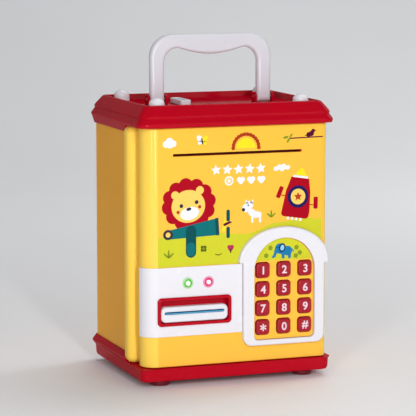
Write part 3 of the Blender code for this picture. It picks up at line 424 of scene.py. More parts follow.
def shade_flat_front(made, front_colour):
    """Gives the door's flat face a deeper yellow than the barrel beside it: painted light and shade, the barrel
    coloured as lit and the front as shaded, though the plastic is one yellow.
    """
    tree = made.node_tree
    shader = tree.nodes["Principled BSDF"]
    plain = shader.inputs["Base Color"].links[0].from_socket
    split = tree.nodes.new("ShaderNodeSeparateXYZ")
    feed_place(tree, split)
    both = tree.nodes.new("ShaderNodeMath")
    both.operation = "MULTIPLY"
    across = remap(tree, split.outputs["X"], BARREL_LIGHT_EDGE_X - 0.0001, BARREL_LIGHT_EDGE_X + 0.0001, 0, 1)
    in_front = remap(tree, split.outputs["Y"], FRONT + 0.0003, FRONT + 0.0005, 1, 0)
    tree.links.new(across, both.inputs[0])
    tree.links.new(in_front, both.inputs[1])
    front_shade = blend_colours(tree, both.outputs["Value"], front_colour, front_colour)
    tree.links.new(plain, front_shade.node.inputs["A"])
    feed(shader, "Base Color", front_shade)
    return made


def print_ink(name, colour):
    """Transfer-printed ink: even colour with the faint speckle of a halftone."""
    made, tree, shader = new_material(name)
    dots = tree.nodes.new("ShaderNodeTexVoronoi")
    put(dots, "Scale", 2600)
    feed_place(tree, dots)
    speckle = remap(tree, dots.outputs["Distance"], 0.1, 0.7, 0, 1)
    put(shader, "Specular IOR Level", 0.06)
    feed(shader, "Base Color", blend_colours(tree, speckle, scaled(colour, 1.05), scaled(colour, 0.93)))
    feed(shader, "Roughness", spread(tree, noise(tree, 60, 3.0), 0.27, 0.40))
    add_bump(tree, shader, noise(tree, 1200, 2.0), 0.10, 0.00008)
    return made


def lens(name, colour, centre, radius):
    """A lit lamp: a clear coloured lens whose middle burns white."""
    made, tree, shader = new_material(name)
    mapping = tree.nodes.new("ShaderNodeMapping")
    put(mapping, "Location", [-value / radius for value in centre])
    put(mapping, "Scale", [1 / radius] * 3)
    feed_place(tree, mapping)
    fall = tree.nodes.new("ShaderNodeTexGradient")
    fall.gradient_type = "SPHERICAL"
    tree.links.new(mapping.outputs["Vector"], fall.inputs["Vector"])
    heat = remap(tree, fall.outputs["Fac"], 0.30, 0.66, 0, 1)
    glow = blend_colours(tree, heat, colour, (1.0, 1.0, 1.0))
    feed(shader, "Base Color", glow)
    feed(shader, "Emission Color", glow)
    put(shader, "Coat Weight", 0.8)
    put(shader, "Emission Strength", 0.55)
    feed(shader, "Roughness", spread(tree, noise(tree, 400, 2.0), 0.08, 0.2))
    add_bump(tree, shader, noise(tree, 1500, 1.0), 0.05, 0.0001)
    return made


def metal(name, colour, roughness):
    """Plated or turned metal with fine drawn lines."""
    made, tree, shader = new_material(name)
    put(shader, "Metallic", 1.0)
    lines = noise(tree, 700, 3.0, (1, 1, 12))
    feed(shader, "Base Color", blend_colours(tree, lines, scaled(colour, 0.9), scaled(colour, 1.08)))
    feed(shader, "Roughness", spread(tree, lines, roughness - 0.06, roughness + 0.12))
    add_bump(tree, shader, lines, 0.15, 0.00008)
    return made


def rubber(name, colour):
    made, tree, shader = new_material(name)
    dust = noise(tree, 220, 5.0)
    paler = remap(tree, dust, 0.4, 0.8, 0, 1)
    feed(shader, "Base Color", blend_colours(tree, paler, colour, scaled(colour, 1.7)))
    feed(shader, "Roughness", spread(tree, dust, 0.6, 0.8))
    add_bump(tree, shader, noise(tree, 1600, 3.0), 0.35, 0.0002)
    return made


def circuit(name):
    """Green solder mask with copper tracks showing through it."""
    made, tree, shader = new_material(name)
    cells = tree.nodes.new("ShaderNodeTexBrick")
    put(cells, "Scale", 90)
    put(cells, "Color1", (0.012, 0.14, 0.045, 1))
    put(cells, "Color2", (0.016, 0.19, 0.06, 1))
    put(cells, "Mortar", (0.05, 0.30, 0.09, 1))
    put(cells, "Mortar Size", 0.04)
    turn = tree.nodes.new("ShaderNodeMapping")
    put(turn, "Rotation", (pi / 2, 0, 0))
    feed_place(tree, turn)
    tree.links.new(turn.outputs["Vector"], cells.inputs["Vector"])
    feed(shader, "Base Color", cells.outputs["Color"])
    feed(shader, "Roughness", spread(tree, noise(tree, 300, 2.0), 0.25, 0.4))
    return made


RED = (0.44, 0.001, 0.011)
YELLOW = (0.92, 0.50, 0.055)
# Painted light: the lighter yellow below is the same yellow plastic coloured as if lit, used for the door's barrel
# and the front frame's strip.
LIT_YELLOW = (0.93, 0.61, 0.085)
# Painted shade: the deeper yellow below is the same yellow plastic coloured as if in shade, used for the case
# shell.
SHADED_YELLOW = (0.90, 0.42, 0.036)
WHITE = (0.74, 0.73, 0.77)


def sizes(node):
    """A node's lowest and highest corners, its middle and its half width."""
    low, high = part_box(node)
    return low, high, (low + high) / 2, (high.x - low.x) / 2


def lamp_lens(name, colour, node):
    """A lens whose white middle lies at the middle of the lamp's front."""
    low, _, middle, radius = sizes(node)
    return lens(name, colour, (middle.x, low.y, middle.z), radius)


FINISH = {
    "red": plastic("glossy_red_abs", RED, 0.20, gloss=0.0, coat=0.24, drift=0.05),
    "dark_red": plastic("dark_red_abs", (0.13, 0.003, 0.010), 0.42),
    "yellow": plastic("yellow_abs", YELLOW, 0.19, gloss=0.0, coat=0.30, drift=0.03),
    "lit_yellow": plastic("lit_yellow_abs", LIT_YELLOW, 0.19, gloss=0.0, coat=0.34, drift=0.03),
    "shaded_case_yellow": plastic("shaded_yellow_abs", SHADED_YELLOW, 0.19, gloss=0.0, coat=0.24, drift=0.03),
    # The door shell: the lighter yellow on the barrel is painted light, and the plain yellow on the flat front is
    # its painted shade.
    "lit_barrel_door_yellow": shade_flat_front(
        plastic("door_yellow_lit_barrel_abs", LIT_YELLOW, 0.19, gloss=0.0, coat=0.34, drift=0.03), YELLOW
    ),
    "white": plastic("white_abs", WHITE, 0.24, coat=0.05, drift=0.01),
    "handle": plastic(
        "pearl_handle_abs", (0.66, 0.65, 0.70), 0.22, coat=0.3, drift=0.03, subsurface=0.05
    ),
    "key": plastic("red_key_abs", (0.33, 0.001, 0.012), 0.26, coat=0.3, drift=0.06, grain=0.2),
    "grey": plastic("grey_abs", (0.24, 0.24, 0.26), 0.45, grain=0.3),
    "card": plastic("laminated_card", (0.06, 0.36, 0.62), 0.22, coat=0.5, drift=0.10, grain=0.05),
    "acetal": plastic("natural_acetal", (0.76, 0.73, 0.66), 0.38, subsurface=0.1),
    "battery": plastic("battery_sleeve", (0.05, 0.16, 0.26), 0.28, coat=0.4),
    "steel": metal("plated_steel", (0.62, 0.61, 0.60), 0.26),
    "gold": metal("gold_contact", (0.83, 0.58, 0.25), 0.30),
    "brown_rubber": rubber("brown_rubber", (0.20, 0.022, 0.014)),
    "grey_rubber": rubber("grey_silicone", (0.30, 0.30, 0.32)),
    "circuit": circuit("circuit_green"),
    "green_lens": lamp_lens("green_lamp_lens", (0.10, 0.45, 0.06), "lamp_green"),
    "red_lens": lamp_lens("red_lamp_lens", (0.55, 0.015, 0.11), "lamp_red"),
}

INK_COLOURS = {
    "white": (0.82, 0.82, 0.86),
    "grass": (0.60, 0.60, 0.03),
    "leaf": (0.23, 0.30, 0.02),
    "dark_leaf": (0.10, 0.13, 0.01),
    "red": (0.40, 0.003, 0.014),
    "rose": (0.84, 0.66, 0.71),
    "brick": (0.45, 0.05, 0.012),
    "sun": (0.90, 0.72, 0.02),
    "cream": (0.95, 0.60, 0.13),
    "teal": (0.005, 0.15, 0.165),
    "dark_teal": (0.004, 0.075, 0.085),
    "navy": (0.016, 0.012, 0.10),
    "plum": (0.09, 0.006, 0.035),
    "charcoal": (0.035, 0.03, 0.05),
    "pink": (0.42, 0.035, 0.09),
    "blue": (0.015, 0.19, 0.40),
    # The two ring colours below are painted glow: the lamps' light spread on the panel around each lens.
    "green_glow_ring": (0.42, 0.68, 0.36),
    "pink_glow_ring": (0.78, 0.28, 0.45),
    "sky": (0.25, 0.62, 0.85),
}
INK = {name: print_ink("ink_" + name, colour) for name, colour in INK_COLOURS.items()}


# --- case, base and lid ---
LIP_HALF_X = CAD_BOX[1][0]
LIP_HALF_Y = CAD_BOX[1][1]
CASE_LOW, CASE_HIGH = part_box("case_shell")
CASE_CORNER = 0.007
CASE_WALL = 0.0024
BASE_FLOOR_Z, BASE_DECK_Z = 0.0085, 0.0170
ABOVE_BASE_Z, BELOW_LID_Z = 0.040, 0.200
LID_SEAT_Z, LID_NOTCH_Z = 0.2372, 0.2263
TRAY_Z = 0.2400
HINGE_BORE = 0.0023
HANDLE_BORE = 0.0018
COIN_HALF_X, COIN_HALF_Y = 0.0016, 0.0138
LUG_RADIUS, LUG_THICKNESS = 0.0040, 0.0024
RIB_HALF_X, RIB_SINK, RIB_RISE = 0.0014, 0.0004, 0.00028
FRAME_CORNER, FRAME_ROUND = 0.0065, 0.0060
MOUTH_HALF_X, MOUTH_LOW_Z, MOUTH_TOP_Z, MOUTH_CORNER = 0.078, 0.031, 0.212, 0.004
DOME_FOOT_Z = 0.2455
HINGE_X, HINGE_Y = frame["joints"][0]["pos_m"][:2]
HANDLE_AXIS_Z = frame["joints"][1]["pos_m"][2]

# distance in from the lip, height and corner radius, in millimetres
BASE_RINGS = (
    (6.6, 5, 5),
    (4, 5.8, 6),
    (3, 8, 7),
    (2.4, 15.2, 8),
    (1.2, 17.2, 8.5),
    (0, 18.5, 9),
    (0, 20.3, 9),
    (0.6, 21.5, 9),
    (3.1, 25, 7),
)
LID_RINGS = (
    (2.7, 220, 7),
    (0.3, 227.5, 9),
    (0, 228.3, 9),
    (0, 229.1, 9),
    (0.5, 230.3, 9),
    (2.4, 233, 8),
    (2.9, 234.1, 8),
    (2.4, 235, 8),
    (3, 237, 8),
    (8.6, 244.3, 6.5),
    (9.8, 245, 6),
    (11.3, 245, 5),
    (11.9, 244.6, 5),
    (13.2, TRAY_Z * 1000, 4),
)


def tub(rings):
    """The solid inside a stack of rounded rectangles, each set in from the lip."""
    rows = []
    for ring in rings:
        step_in, height, corner = (value / 1000 for value in ring)
        half_x = LIP_HALF_X - step_in
        half_y = LIP_HALF_Y - step_in
        outline = rounded(-half_x, -half_y, half_x, half_y, corner, 10)
        rows.append([at("Z", u, v, height) for u, v in outline])
    mesh = bmesh.new()
    skin(mesh, rows)
    return mesh


def case_outline(grow, front):
    """The outside of the case in plan, square at the front and round at the back."""
    side = CASE_HIGH.x + grow
    corner_x = CASE_HIGH.x - CASE_CORNER
    corner_y = CASE_HIGH.y - CASE_CORNER
    return (
        [(-side, front), (side, front)]
        + arc(corner_x, corner_y, CASE_CORNER + grow, 0, 90, 10)
        + arc(-corner_x, corner_y, CASE_CORNER + grow, 90, 180, 10)
    )


def case_room(low, high):
    return drawn(case_outline(0.0004, CASE_LOW.y - 0.0004), "Z", low, high)


def front_notch(low, high):
    reach = LIP_HALF_X + 0.01
    return block((-reach, -reach, low), (reach, CASE_LOW.y, high))


def hinge_hole(low, high):
    return lathed("Z", HINGE_X, HINGE_Y, ((low, HINGE_BORE), (high, HINGE_BORE)), 24)


def make_base():
    room = case_room(BASE_FLOOR_Z, ABOVE_BASE_Z)
    mesh = cut(tub(BASE_RINGS), room, front_notch(BASE_DECK_Z, ABOVE_BASE_Z), hinge_hole(0.0105, 0.030))
    stands_for("base", mesh, "red", edge=0.00045, edge_angle=28)
    for node in ("foot_front_left", "foot_front_right", "foot_rear_left", "foot_rear_right"):
        _, high, middle, radius = sizes(node)
        flat = radius * 0.74
        profile = [(0.0003, radius * 0.30), (0.0, radius * 0.42), (0.0, flat)]
        profile += [
            (0.0022 * (1 - cos(a)), flat + radius * 0.26 * sin(a))
            for a in (0.4, 0.8, 1.2)
        ]
        profile += [(0.0024, radius), (high.z - 0.0004, radius), (high.z, radius - 0.0004)]
        stands_for(node, lathed("Z", middle.x, middle.y, profile, 48), "dark_red")


def coin_cutter(spare):
    centre = sizes("coin_collar")[2].x
    half_x = COIN_HALF_X + spare
    half_y = COIN_HALF_Y + spare
    return drawn(rounded(centre - half_x, -half_y, centre + half_x, half_y, 0.0006, 3), "Z", 0.230, 0.250)


def handle_bores(reach):
    mesh = bmesh.new()
    for node in ("handle_pin_left", "handle_pin_right"):
        middle = sizes(node)[2].x
        turned(
            mesh,
            "X",
            0,
            HANDLE_AXIS_Z,
            ((middle - reach, HANDLE_BORE), (middle + reach, HANDLE_BORE)),
            20,
        )
    return mesh


def make_lid():
    mesh = cut(
        tub(LID_RINGS),
        case_room(BELOW_LID_Z, LID_SEAT_Z),
        front_notch(BELOW_LID_Z, LID_NOTCH_Z),
        hinge_hole(BELOW_LID_Z, 0.2365),
        coin_cutter(GAP),
    )
    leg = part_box("carry_handle")[1].x
    root_z = TRAY_Z - 0.001
    outline = [
        (-LUG_RADIUS, root_z), (LUG_RADIUS, root_z)
    ] + arc(0, HANDLE_AXIS_Z, LUG_RADIUS, 0, 180, 16)
    lugs = []
    for side in (-1, 1):
        for inner in (leg - 0.0160, leg + 0.0006):
            lugs.append(drawn(outline, "X", *sorted((side * inner, side * (inner + LUG_THICKNESS)))))
    mesh = cut(mesh, *lugs, operation="UNION")
    stands_for("lid", cut(mesh, handle_bores(0.012)), "red", edge=0.0004, edge_angle=28)
    half_y = LIP_HALF_Y - 0.0140
    outline = rounded(-RIB_HALF_X, -half_y, RIB_HALF_X, half_y, 0.0013, 4)
    rib = drawn(outline, "Z", TRAY_Z - RIB_SINK, TRAY_Z + RIB_RISE, 0, 0.0002)
    piece("tray_rib", rib, FINISH["red"], "case", slot="red_shell")


def make_case():
    inner = CASE_CORNER - CASE_WALL
    corner_x = CASE_HIGH.x - CASE_CORNER
    corner_y = CASE_HIGH.y - CASE_CORNER
    outline = (
        [(-CASE_HIGH.x, CASE_LOW.y), (-CASE_HIGH.x + CASE_WALL, CASE_LOW.y)]
        + arc(-corner_x, corner_y, inner, 180, 90, 10)
        + arc(corner_x, corner_y, inner, 90, 0, 10)
        + [(CASE_HIGH.x - CASE_WALL, CASE_LOW.y), (CASE_HIGH.x, CASE_LOW.y)]
        + arc(corner_x, corner_y, CASE_CORNER, 0, 90, 10)
        + arc(-corner_x, corner_y, CASE_CORNER, 90, 180, 10)
    )
    # The case shell gets the deeper yellow: painted shade on its sides and back.
    stands_for("case_shell", drawn(outline, "Z", CASE_LOW.z, CASE_HIGH.z), "shaded_case_yellow", edge=0.0004)
    low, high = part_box("front_frame")
    outline = rounded(low.x, low.z, high.x, high.z, FRAME_CORNER, 10)
    ring = drawn(outline, "Y", low.y, high.y, FRAME_ROUND, 0.0, 12)
    mouth = rounded(-MOUTH_HALF_X, MOUTH_LOW_Z, MOUTH_HALF_X, MOUTH_TOP_Z, MOUTH_CORNER)
    mesh = cut(ring, drawn(mouth, "Y", -0.06, 0.0))
    # The front frame gets the lighter yellow: painted light on its strip.
    stands_for("front_frame", mesh, "lit_yellow", edge=0.0008, edge_angle=40)


def make_lid_fittings():
    low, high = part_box("coin_collar")
    collar = drawn(rounded(low.x, low.y, high.x, high.y, 0.0025), "Z", low.z, high.z, 0.0, 0.0010)
    stands_for("coin_collar", cut(collar, coin_cutter(0.0)), "white", edge=0.0003, edge_angle=50)
    for node in ("front_left", "front_right", "rear_left", "rear_right"):
        low, high, middle, radius = sizes("corner_dome_" + node)
        profile = [(low.z, radius - 0.0002), (low.z + 0.0003, radius), (DOME_FOOT_Z - 0.0006, radius)]
        profile.append((DOME_FOOT_Z - 0.0003, radius * 0.985))
        profile += dome(DOME_FOOT_Z, high.z - DOME_FOOT_Z, radius * 0.97, 12)
        stands_for("corner_dome_" + node, lathed("Z", middle.x, middle.y, profile, 48), "white")


# --- handle ---
LEG_WIDTH = 0.0130
OUTER_CORNER = 0.020
INNER_CORNER = 0.013
GRIP_THICKNESS = 0.012
GRIP_BELLY = 0.0058


def handle_stations():
    """Outer point, inner point and half depth along the U, from the left foot to the middle."""
    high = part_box("carry_handle")[1]
    outer_x = high.x
    inner_x = high.x - LEG_WIDTH
    half_depth = high.y
    shoulder_z = high.z - GRIP_THICKNESS
    stations = []
    for angle in range(84, -1, -12):
        drop = half_depth * sin(radians(angle))
        depth = half_depth * cos(radians(angle))
        stations.append(((-outer_x, HANDLE_AXIS_Z - drop), (-inner_x, HANDLE_AXIS_Z - drop), depth))
    outer_arc = arc(-outer_x + OUTER_CORNER, high.z - OUTER_CORNER, OUTER_CORNER, 180, 90, 18)
    inner_arc = arc(-inner_x + INNER_CORNER, shoulder_z - INNER_CORNER, INNER_CORNER, 180, 90, 18)
    stations += [(outer, inner, half_depth) for outer, inner in zip(outer_arc, inner_arc)]
    for step in range(1, 17):
        share = step / 16 - 1
        belly = GRIP_BELLY * cos(share * pi / 2)
        outer = (share * (outer_x - OUTER_CORNER), high.z)
        stations.append((outer, (share * (inner_x - INNER_CORNER), shoulder_z - belly), half_depth))
    return stations


def make_handle():
    stations = handle_stations()
    for outer, inner, depth in reversed(stations[:-1]):
        stations.append(((-outer[0], outer[1]), (-inner[0], inner[1]), depth))
    rings = []
    for outer, inner, depth in stations:
        across = Vector((inner[0] - outer[0], inner[1] - outer[1]))
        half = across.length / 2
        middle = Vector(outer) + across / 2
        across.normalize()
        section = rounded(-half, -depth, half, depth, min(0.0034, depth * 0.75), 6)
        rings.append([(middle.x + across.x * u, v, middle.y + across.y * u) for u, v in section])
    handle = bmesh.new()
    skin(handle, rings)
    stands_for("carry_handle", cut(handle, handle_bores(0.010)), "handle")
    for node in ("handle_pin_left", "handle_pin_right"):
        low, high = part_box(node)
        radius = (high.z - low.z) / 2
        tip = radius - 0.0004
        profile = [(low.x, tip), (low.x + 0.0004, radius), (high.x - 0.0004, radius), (high.x, tip)]
        stands_for(node, lathed("X", 0, HANDLE_AXIS_Z, profile, 24), "steel")


# --- door ---
DOOR_LOW, DOOR_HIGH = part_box("door_shell")
DOOR_WALL = 0.0022
DOOR_CORNER = 0.0055
BARREL = (DOOR_HIGH.y - DOOR_LOW.y) / 2
NOTE_LEFT, NOTE_RIGHT, NOTE_Z, NOTE_HALF = -0.0590, 0.0610, 0.2022, 0.0012
LAMPS = ("lamp_green", "lamp_red")
READER_LOW, READER_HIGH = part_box("reader_frame")
READER_X = (READER_LOW.x + READER_HIGH.x) / 2
CARD_Z = (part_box("bank_card")[0].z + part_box("bank_card")[1].z) / 2
SLIT_HALF_X, SLIT_HALF_Z = 0.0275, 0.0011
LAMP_BORE, GLOW_RING_RADIUS, GLOW_RING_TOP_RADIUS = 0.0037, 0.0050, 0.0046
LAMP_ROUND = 0.0018
# where cutters start and end: through the door's face, and through all that is fitted to it
FACE_NEAR, FACE_FAR = -0.072, -0.064
FITTED_NEAR, FITTED_FAR = -0.080, -0.060
SLIT_NEAR = -0.070
BACK_NEAR, BACK_FAR = -0.050, -0.040
BACK_RIGHT_X, BACK_LOW_Z, BACK_TOP_Z = 0.0826, 0.0220, 0.2212
PAD_LEFT_X, PAD_RIGHT_X, PAD_LOW_Z, PAD_TOP_Z = 0.0150, 0.0710, 0.0392, 0.1066
SURROUND_LEFT_X, SURROUND_RIGHT_X = 0.0048, 0.0812
ARCH_FOOT_Z, ARCH_RIGHT_DROP = 0.1054, 0.0030
PLATE_CORNER = 0.004


def door_outline(shrink):
    """The door in plan, anticlockwise: hinge barrel, front face, right corner and side."""
    corner = DOOR_CORNER - shrink
    return (
        arc(HINGE_X, HINGE_Y, BARREL - shrink, 90, 270, 40)
        + arc(DOOR_HIGH.x - DOOR_CORNER, FRONT + DOOR_CORNER, corner, -90, 0, 12)
        + [(DOOR_HIGH.x - shrink, DOOR_HIGH.y - shrink)]
    )


def reader_outline(step_in, corner):
    low, high = READER_LOW, READER_HIGH
    return rounded(low.x + step_in, low.z + step_in, high.x - step_in, high.z - step_in, corner)


def front_windows():
    """What is cut through the face for the reader and the lamps."""
    mesh = drawn(reader_outline(0.0013, 0.0015), "Y", FACE_NEAR, FACE_FAR)
    for node in LAMPS:
        middle = sizes(node)[2]
        turned(mesh, "Y", middle.x, middle.z, ((FACE_NEAR, LAMP_BORE), (FACE_FAR, LAMP_BORE)), 32)
    return mesh


def make_door_shell():
    shell = drawn(door_outline(0), "Z", DOOR_LOW.z, DOOR_HIGH.z, 0.0009, 0.0009, 3)
    hollow = drawn(door_outline(DOOR_WALL), "Z", DOOR_LOW.z + DOOR_WALL, DOOR_HIGH.z - DOOR_WALL)
    back = block((HINGE_X, BACK_NEAR, BACK_LOW_Z), (BACK_RIGHT_X, BACK_FAR, BACK_TOP_Z))
    outline = rounded(NOTE_LEFT, NOTE_Z - NOTE_HALF, NOTE_RIGHT, NOTE_Z + NOTE_HALF, 0.0011, 4)
    slit = drawn(outline, "Y", SLIT_NEAR, FACE_FAR)
    pad = block((PAD_LEFT_X, SLIT_NEAR, PAD_LOW_Z), (PAD_RIGHT_X, FACE_FAR, PAD_TOP_Z))
    mesh = cut(shell, hollow, back, slit, pad, front_windows(), hinge_hole(0.010, 0.240))
    stands_for("door_shell", mesh, "lit_barrel_door_yellow", edge=0.0003, edge_angle=40)


def make_card_panel():
    outer = BARREL + FRONT - PANEL_FACE
    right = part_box("card_panel")[1].x
    outline = (
        arc(HINGE_X, HINGE_Y, outer, 186, 270, 30)
        + [(right, PANEL_FACE), (right, FRONT - GAP)]
        + arc(HINGE_X, HINGE_Y, BARREL + GAP, 270, 186, 30)
    )
    low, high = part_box("card_panel")
    panel = drawn(outline, "Z", low.z, high.z)
    stands_for("card_panel", cut(panel, front_windows()), "white", edge=0.00035, edge_angle=40)


def surround_outline():
    """The keypad surround's outside: an arch whose feet stand out past its legs."""
    low, high, middle, half = sizes("keypad_surround")
    corner = 0.008
    tip = 0.0020
    right_foot_z = ARCH_FOOT_Z - ARCH_RIGHT_DROP
    arch = []
    for step in range(64):
        angle = radians(176) * step / 63
        height = (high.z - ARCH_FOOT_Z) * sin(angle)
        arch.append((middle.x + half * cos(angle), ARCH_FOOT_Z + height))
    return (
        arc(SURROUND_LEFT_X + corner, low.z + corner, corner, 180, 270, 12)
        + arc(SURROUND_RIGHT_X - corner, low.z + corner, corner, -90, 0, 12)
        + [(SURROUND_RIGHT_X, right_foot_z)]
        + arc(high.x - tip, right_foot_z + tip, tip, -90, 0, 6)
        + arch
        + arc(low.x + tip, ARCH_FOOT_Z + tip, tip, 180, 270, 6)
        + [(SURROUND_LEFT_X, ARCH_FOOT_Z)]
    )


def keypad_outline(shrink):
    """The keypad's inner outline: a rectangle under a half circle."""
    low, high, middle, half = sizes("keypad_plate")
    grow = GAP - shrink
    left = low.x - grow
    right = high.x + grow
    radius = half + grow
    corner_z = low.z - grow + PLATE_CORNER
    return (
        arc(left + PLATE_CORNER, corner_z, PLATE_CORNER, 180, 270, 8)
        + arc(right - PLATE_CORNER, corner_z, PLATE_CORNER, -90, 0, 8)
        + arc(middle.x, high.z + grow - radius, radius, 0, 180, 64)
    )


KEYS = [f"key_{sign}" for sign in (1, 2, 3, 4, 5, 6, 7, 8, 9, "star", 0, "hash")]
KEY_MARKS = dict(zip(KEYS, "123456789*0#"))
KEY_FLANGE, KEY_FLANGE_THICKNESS = 0.0009, 0.0008
KEY_RIM = 0.0013
KEY_DISH = ((0.85, 0.00010), (0.65, 0.00019), (0.35, 0.00024))  # share of the top's width, depth
SIGN_SIZE, STAR_SIZE = 0.0098, 0.0135


def key_outline(node, grow):
    low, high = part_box(node)
    step = KEY_FLANGE - grow
    return rounded(low.x + step, low.z + step, high.x - step, high.z - step, 0.0031 + grow * 0.5, 8)


def make_key(node):
    """A key cap with a rounded rim and a slightly dished top, on its flange."""
    low, high, centre, _ = sizes(node)
    step_y = high.y - KEY_FLANGE_THICKNESS
    flange = key_outline(node, KEY_FLANGE)
    cap = key_outline(node, 0.0)
    rows = [(high.y, flange), (step_y, flange), (step_y, cap)]
    for step in range(7):
        angle = pi / 2 * step / 6
        rim = inset(cap, 0.0002 + KEY_RIM * (1 - cos(angle)))
        rows.append((low.y + KEY_RIM * (1 - sin(angle)), rim))
    for share, depth in KEY_DISH:
        rows.append(
            (
                low.y + depth,
                [(centre.x + (u - centre.x) * share, centre.z + (v - centre.z) * share) for u, v in rim],
            ),
        )
    key = bmesh.new()
    skin(key, [[at("Y", u, v, along) for u, v in outline] for along, outline in rows])
    stands_for(node, key, "key")
    write_mark(node, low.y, centre)


def write_mark(node, top_y, centre):
    """The white sign on a key, raised a hair from the dish of the cap."""
    curve = bpy.data.curves.new(node + "_sign", "FONT")
    curve.body = KEY_MARKS[node]
    curve.align_x = "CENTER"
    curve.align_y = "CENTER"
    curve.size = STAR_SIZE if curve.body == "*" else SIGN_SIZE
    curve.extrude = 0.00012
    curve.offset = 0.00022
    curve.resolution_u = 6
    text = add_object(node + "_sign", curve)
    mesh = evaluated_mesh(text)
    bpy.data.objects.remove(text)
    bpy.data.curves.remove(curve)
    bmesh.ops.remove_doubles(mesh, verts=mesh.verts, dist=1e-7)
    across = [vertex.co.x for vertex in mesh.verts]
    upward = [vertex.co.y for vertex in mesh.verts]
    left = centre.x - (min(across) + max(across)) / 2
    bottom = centre.z - (min(upward) + max(upward)) / 2
    for vertex in mesh.verts:
        u, v, rise = vertex.co
        vertex.co = Vector((left + u, top_y + 0.00020 - rise, bottom + v))
    piece(node + "_mark", mesh, INK["rose"], NODE_BODY[node], slot="key_caps")


def make_keypad():
    low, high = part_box("keypad_surround")
    surround = drawn(surround_outline(), "Y", low.y, high.y, 0.0018, 0.0, 6)
    opening = drawn(keypad_outline(0), "Y", FITTED_NEAR, FITTED_FAR)
    stands_for("keypad_surround", cut(surround, opening), "white", edge=0.0009, edge_angle=50)
    low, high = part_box("keypad_plate")
    plate = drawn(keypad_outline(GAP), "Y", low.y, high.y)
    holes = bmesh.new()
    for node in KEYS:
        prism(holes, key_outline(node, 0.0004), "Y", FITTED_NEAR, FITTED_FAR)
    stands_for("keypad_plate", cut(plate, holes), "yellow", edge=0.0002, edge_angle=50)
    for node in KEYS:
        make_key(node)


def card_slit():
    left, right = READER_X - SLIT_HALF_X, READER_X + SLIT_HALF_X
    outline = rounded(left, CARD_Z - SLIT_HALF_Z, right, CARD_Z + SLIT_HALF_Z, 0.0009, 4)
    return drawn(outline, "Y", FITTED_NEAR, FITTED_FAR)


def make_reader():
    flange = drawn(reader_outline(0, 0.0035), "Y", READER_LOW.y, PANEL_FACE - GAP, 0.0008, 0.0)
    sleeve = drawn(reader_outline(0.0016, 0.002), "Y", SLIT_NEAR, READER_HIGH.y)
    well = drawn(reader_outline(0.0027, 0.0022), "Y", FITTED_NEAR, FACE_FAR)
    mesh = cut(cut(flange, sleeve, operation="UNION"), well, card_slit())
    stands_for("reader_frame", mesh, "red", edge=0.0003, edge_angle=50)
    low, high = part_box("reader_insert")
    insert = drawn(rounded(low.x, low.z, high.x, high.z, 0.0048, 10), "Y", low.y, high.y, 0.0016, 0.0)
    stands_for("reader_insert", cut(insert, card_slit()), "white", edge=0.0004, edge_angle=50)


def make_lamps():
    for node, ink, finish in zip(LAMPS, ("green_glow_ring", "pink_glow_ring"), ("green_lens", "red_lens")):
        low, high, middle, radius = sizes(node)
        profile = [(high.y, radius), (low.y + LAMP_ROUND, radius)]
        for step in range(1, 10):
            angle = pi / 2 * step / 10
            profile.append((low.y + LAMP_ROUND * (1 - sin(angle)), radius * cos(angle)))
        stands_for(node, lathed("Y", middle.x, middle.z, profile, 40), finish)
        # Around each lens, a thin green or pink ring: painted glow of the lamp on the panel.
        profile = [(PANEL_FACE + 0.0006, GLOW_RING_RADIUS), (PANEL_FACE - 0.00035, GLOW_RING_RADIUS)]
        profile.append((PANEL_FACE - 0.0006, GLOW_RING_TOP_RADIUS))
        ring = lathed("Y", middle.x, middle.z, profile, 48)
        bore = lathed("Y", middle.x, middle.z, ((-0.075, radius + GAP), (FITTED_FAR, radius + GAP)), 40)
        facts = {"slot": NODE_SLOT[node], "edge": 0.00015, "edge_angle": 50}
        piece(node + "_glow_ring", cut(ring, bore), INK[ink], "door", **facts)


def make_card():
    low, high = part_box("bank_card")
    outline = rounded(low.x, low.y, high.x, high.y, 0.0032, 10)
    stands_for("bank_card", drawn(outline, "Z", low.z, high.z, 0.0001, 0.0001, 2), "card")
    bands = bmesh.new()
    for start, end in ((0.018, 0.030), (0.040, 0.048)):
        outline = rounded(low.x + 0.004, low.y + start, high.x - 0.004, low.y + end, 0.002, 5)
        prism(bands, outline, "Z", high.z - 0.0001, high.z + 0.00004)
    piece("card_bands", bands, INK["sky"], "card", slot="card")
    outline = rounded(low.x + 0.019, high.y - 0.026, low.x + 0.031, high.y - 0.012, 0.0016, 5)
    chip = drawn(outline, "Z", high.z - 0.0001, high.z + 0.00005)
    piece("card_contact_pad", chip, FINISH["gold"], "card", slot="card")


# --- inside ---
INSIDE_FINISH = {
    "grey_rubber": ("key_membrane",),
    "circuit": ("circuit_board",),
    "brown_rubber": ("feed_roller", "idler_roller"),
    "acetal": ("roller_gear", "motor_pinion"),
    "steel": ("feed_motor", "battery_screw", "hinge_pin_lower", "hinge_pin_upper"),
    "battery": ("battery_1", "battery_2", "battery_3"),
    "grey": ("speaker",),
}
SOFTENED_FINISH = {
    "yellow": ("door_back_cover", "battery_cover"),
    "grey": ("battery_box", "card_guide", "latch_housing"),
    "steel": ("latch_bolt",),
    "red": ("note_feeder_housing",),
}


def make_inside():
    """Gives the pieces shown as their CAD solids a material, and rounds the edges of the larger ones."""
    for finish, nodes in INSIDE_FINISH.items():
        for node in nodes:
            shown = frame["nodes"][node]
            shown.data.materials.clear()
            shown.data.materials.append(FINISH[finish])
    for finish, nodes in SOFTENED_FINISH.items():
        for node in nodes:
            softened(node, finish)


# --- printed pictures ---
def decal(name, ink, layer, *shapes, face=FRONT, slot="yellow_shell"):
    """Flat ink shapes on a face, in millimetres; a higher layer lies over a lower one."""
    mesh = bmesh.new()
    for shape in shapes:
        outline = [(u / 1000, v / 1000) for u, v in shape]
        prism(mesh, outline, "Y", face - DECAL_DEPTH * layer, face + 0.0001)
    piece("print_" + name, mesh, INK[ink], "door", slot=slot)


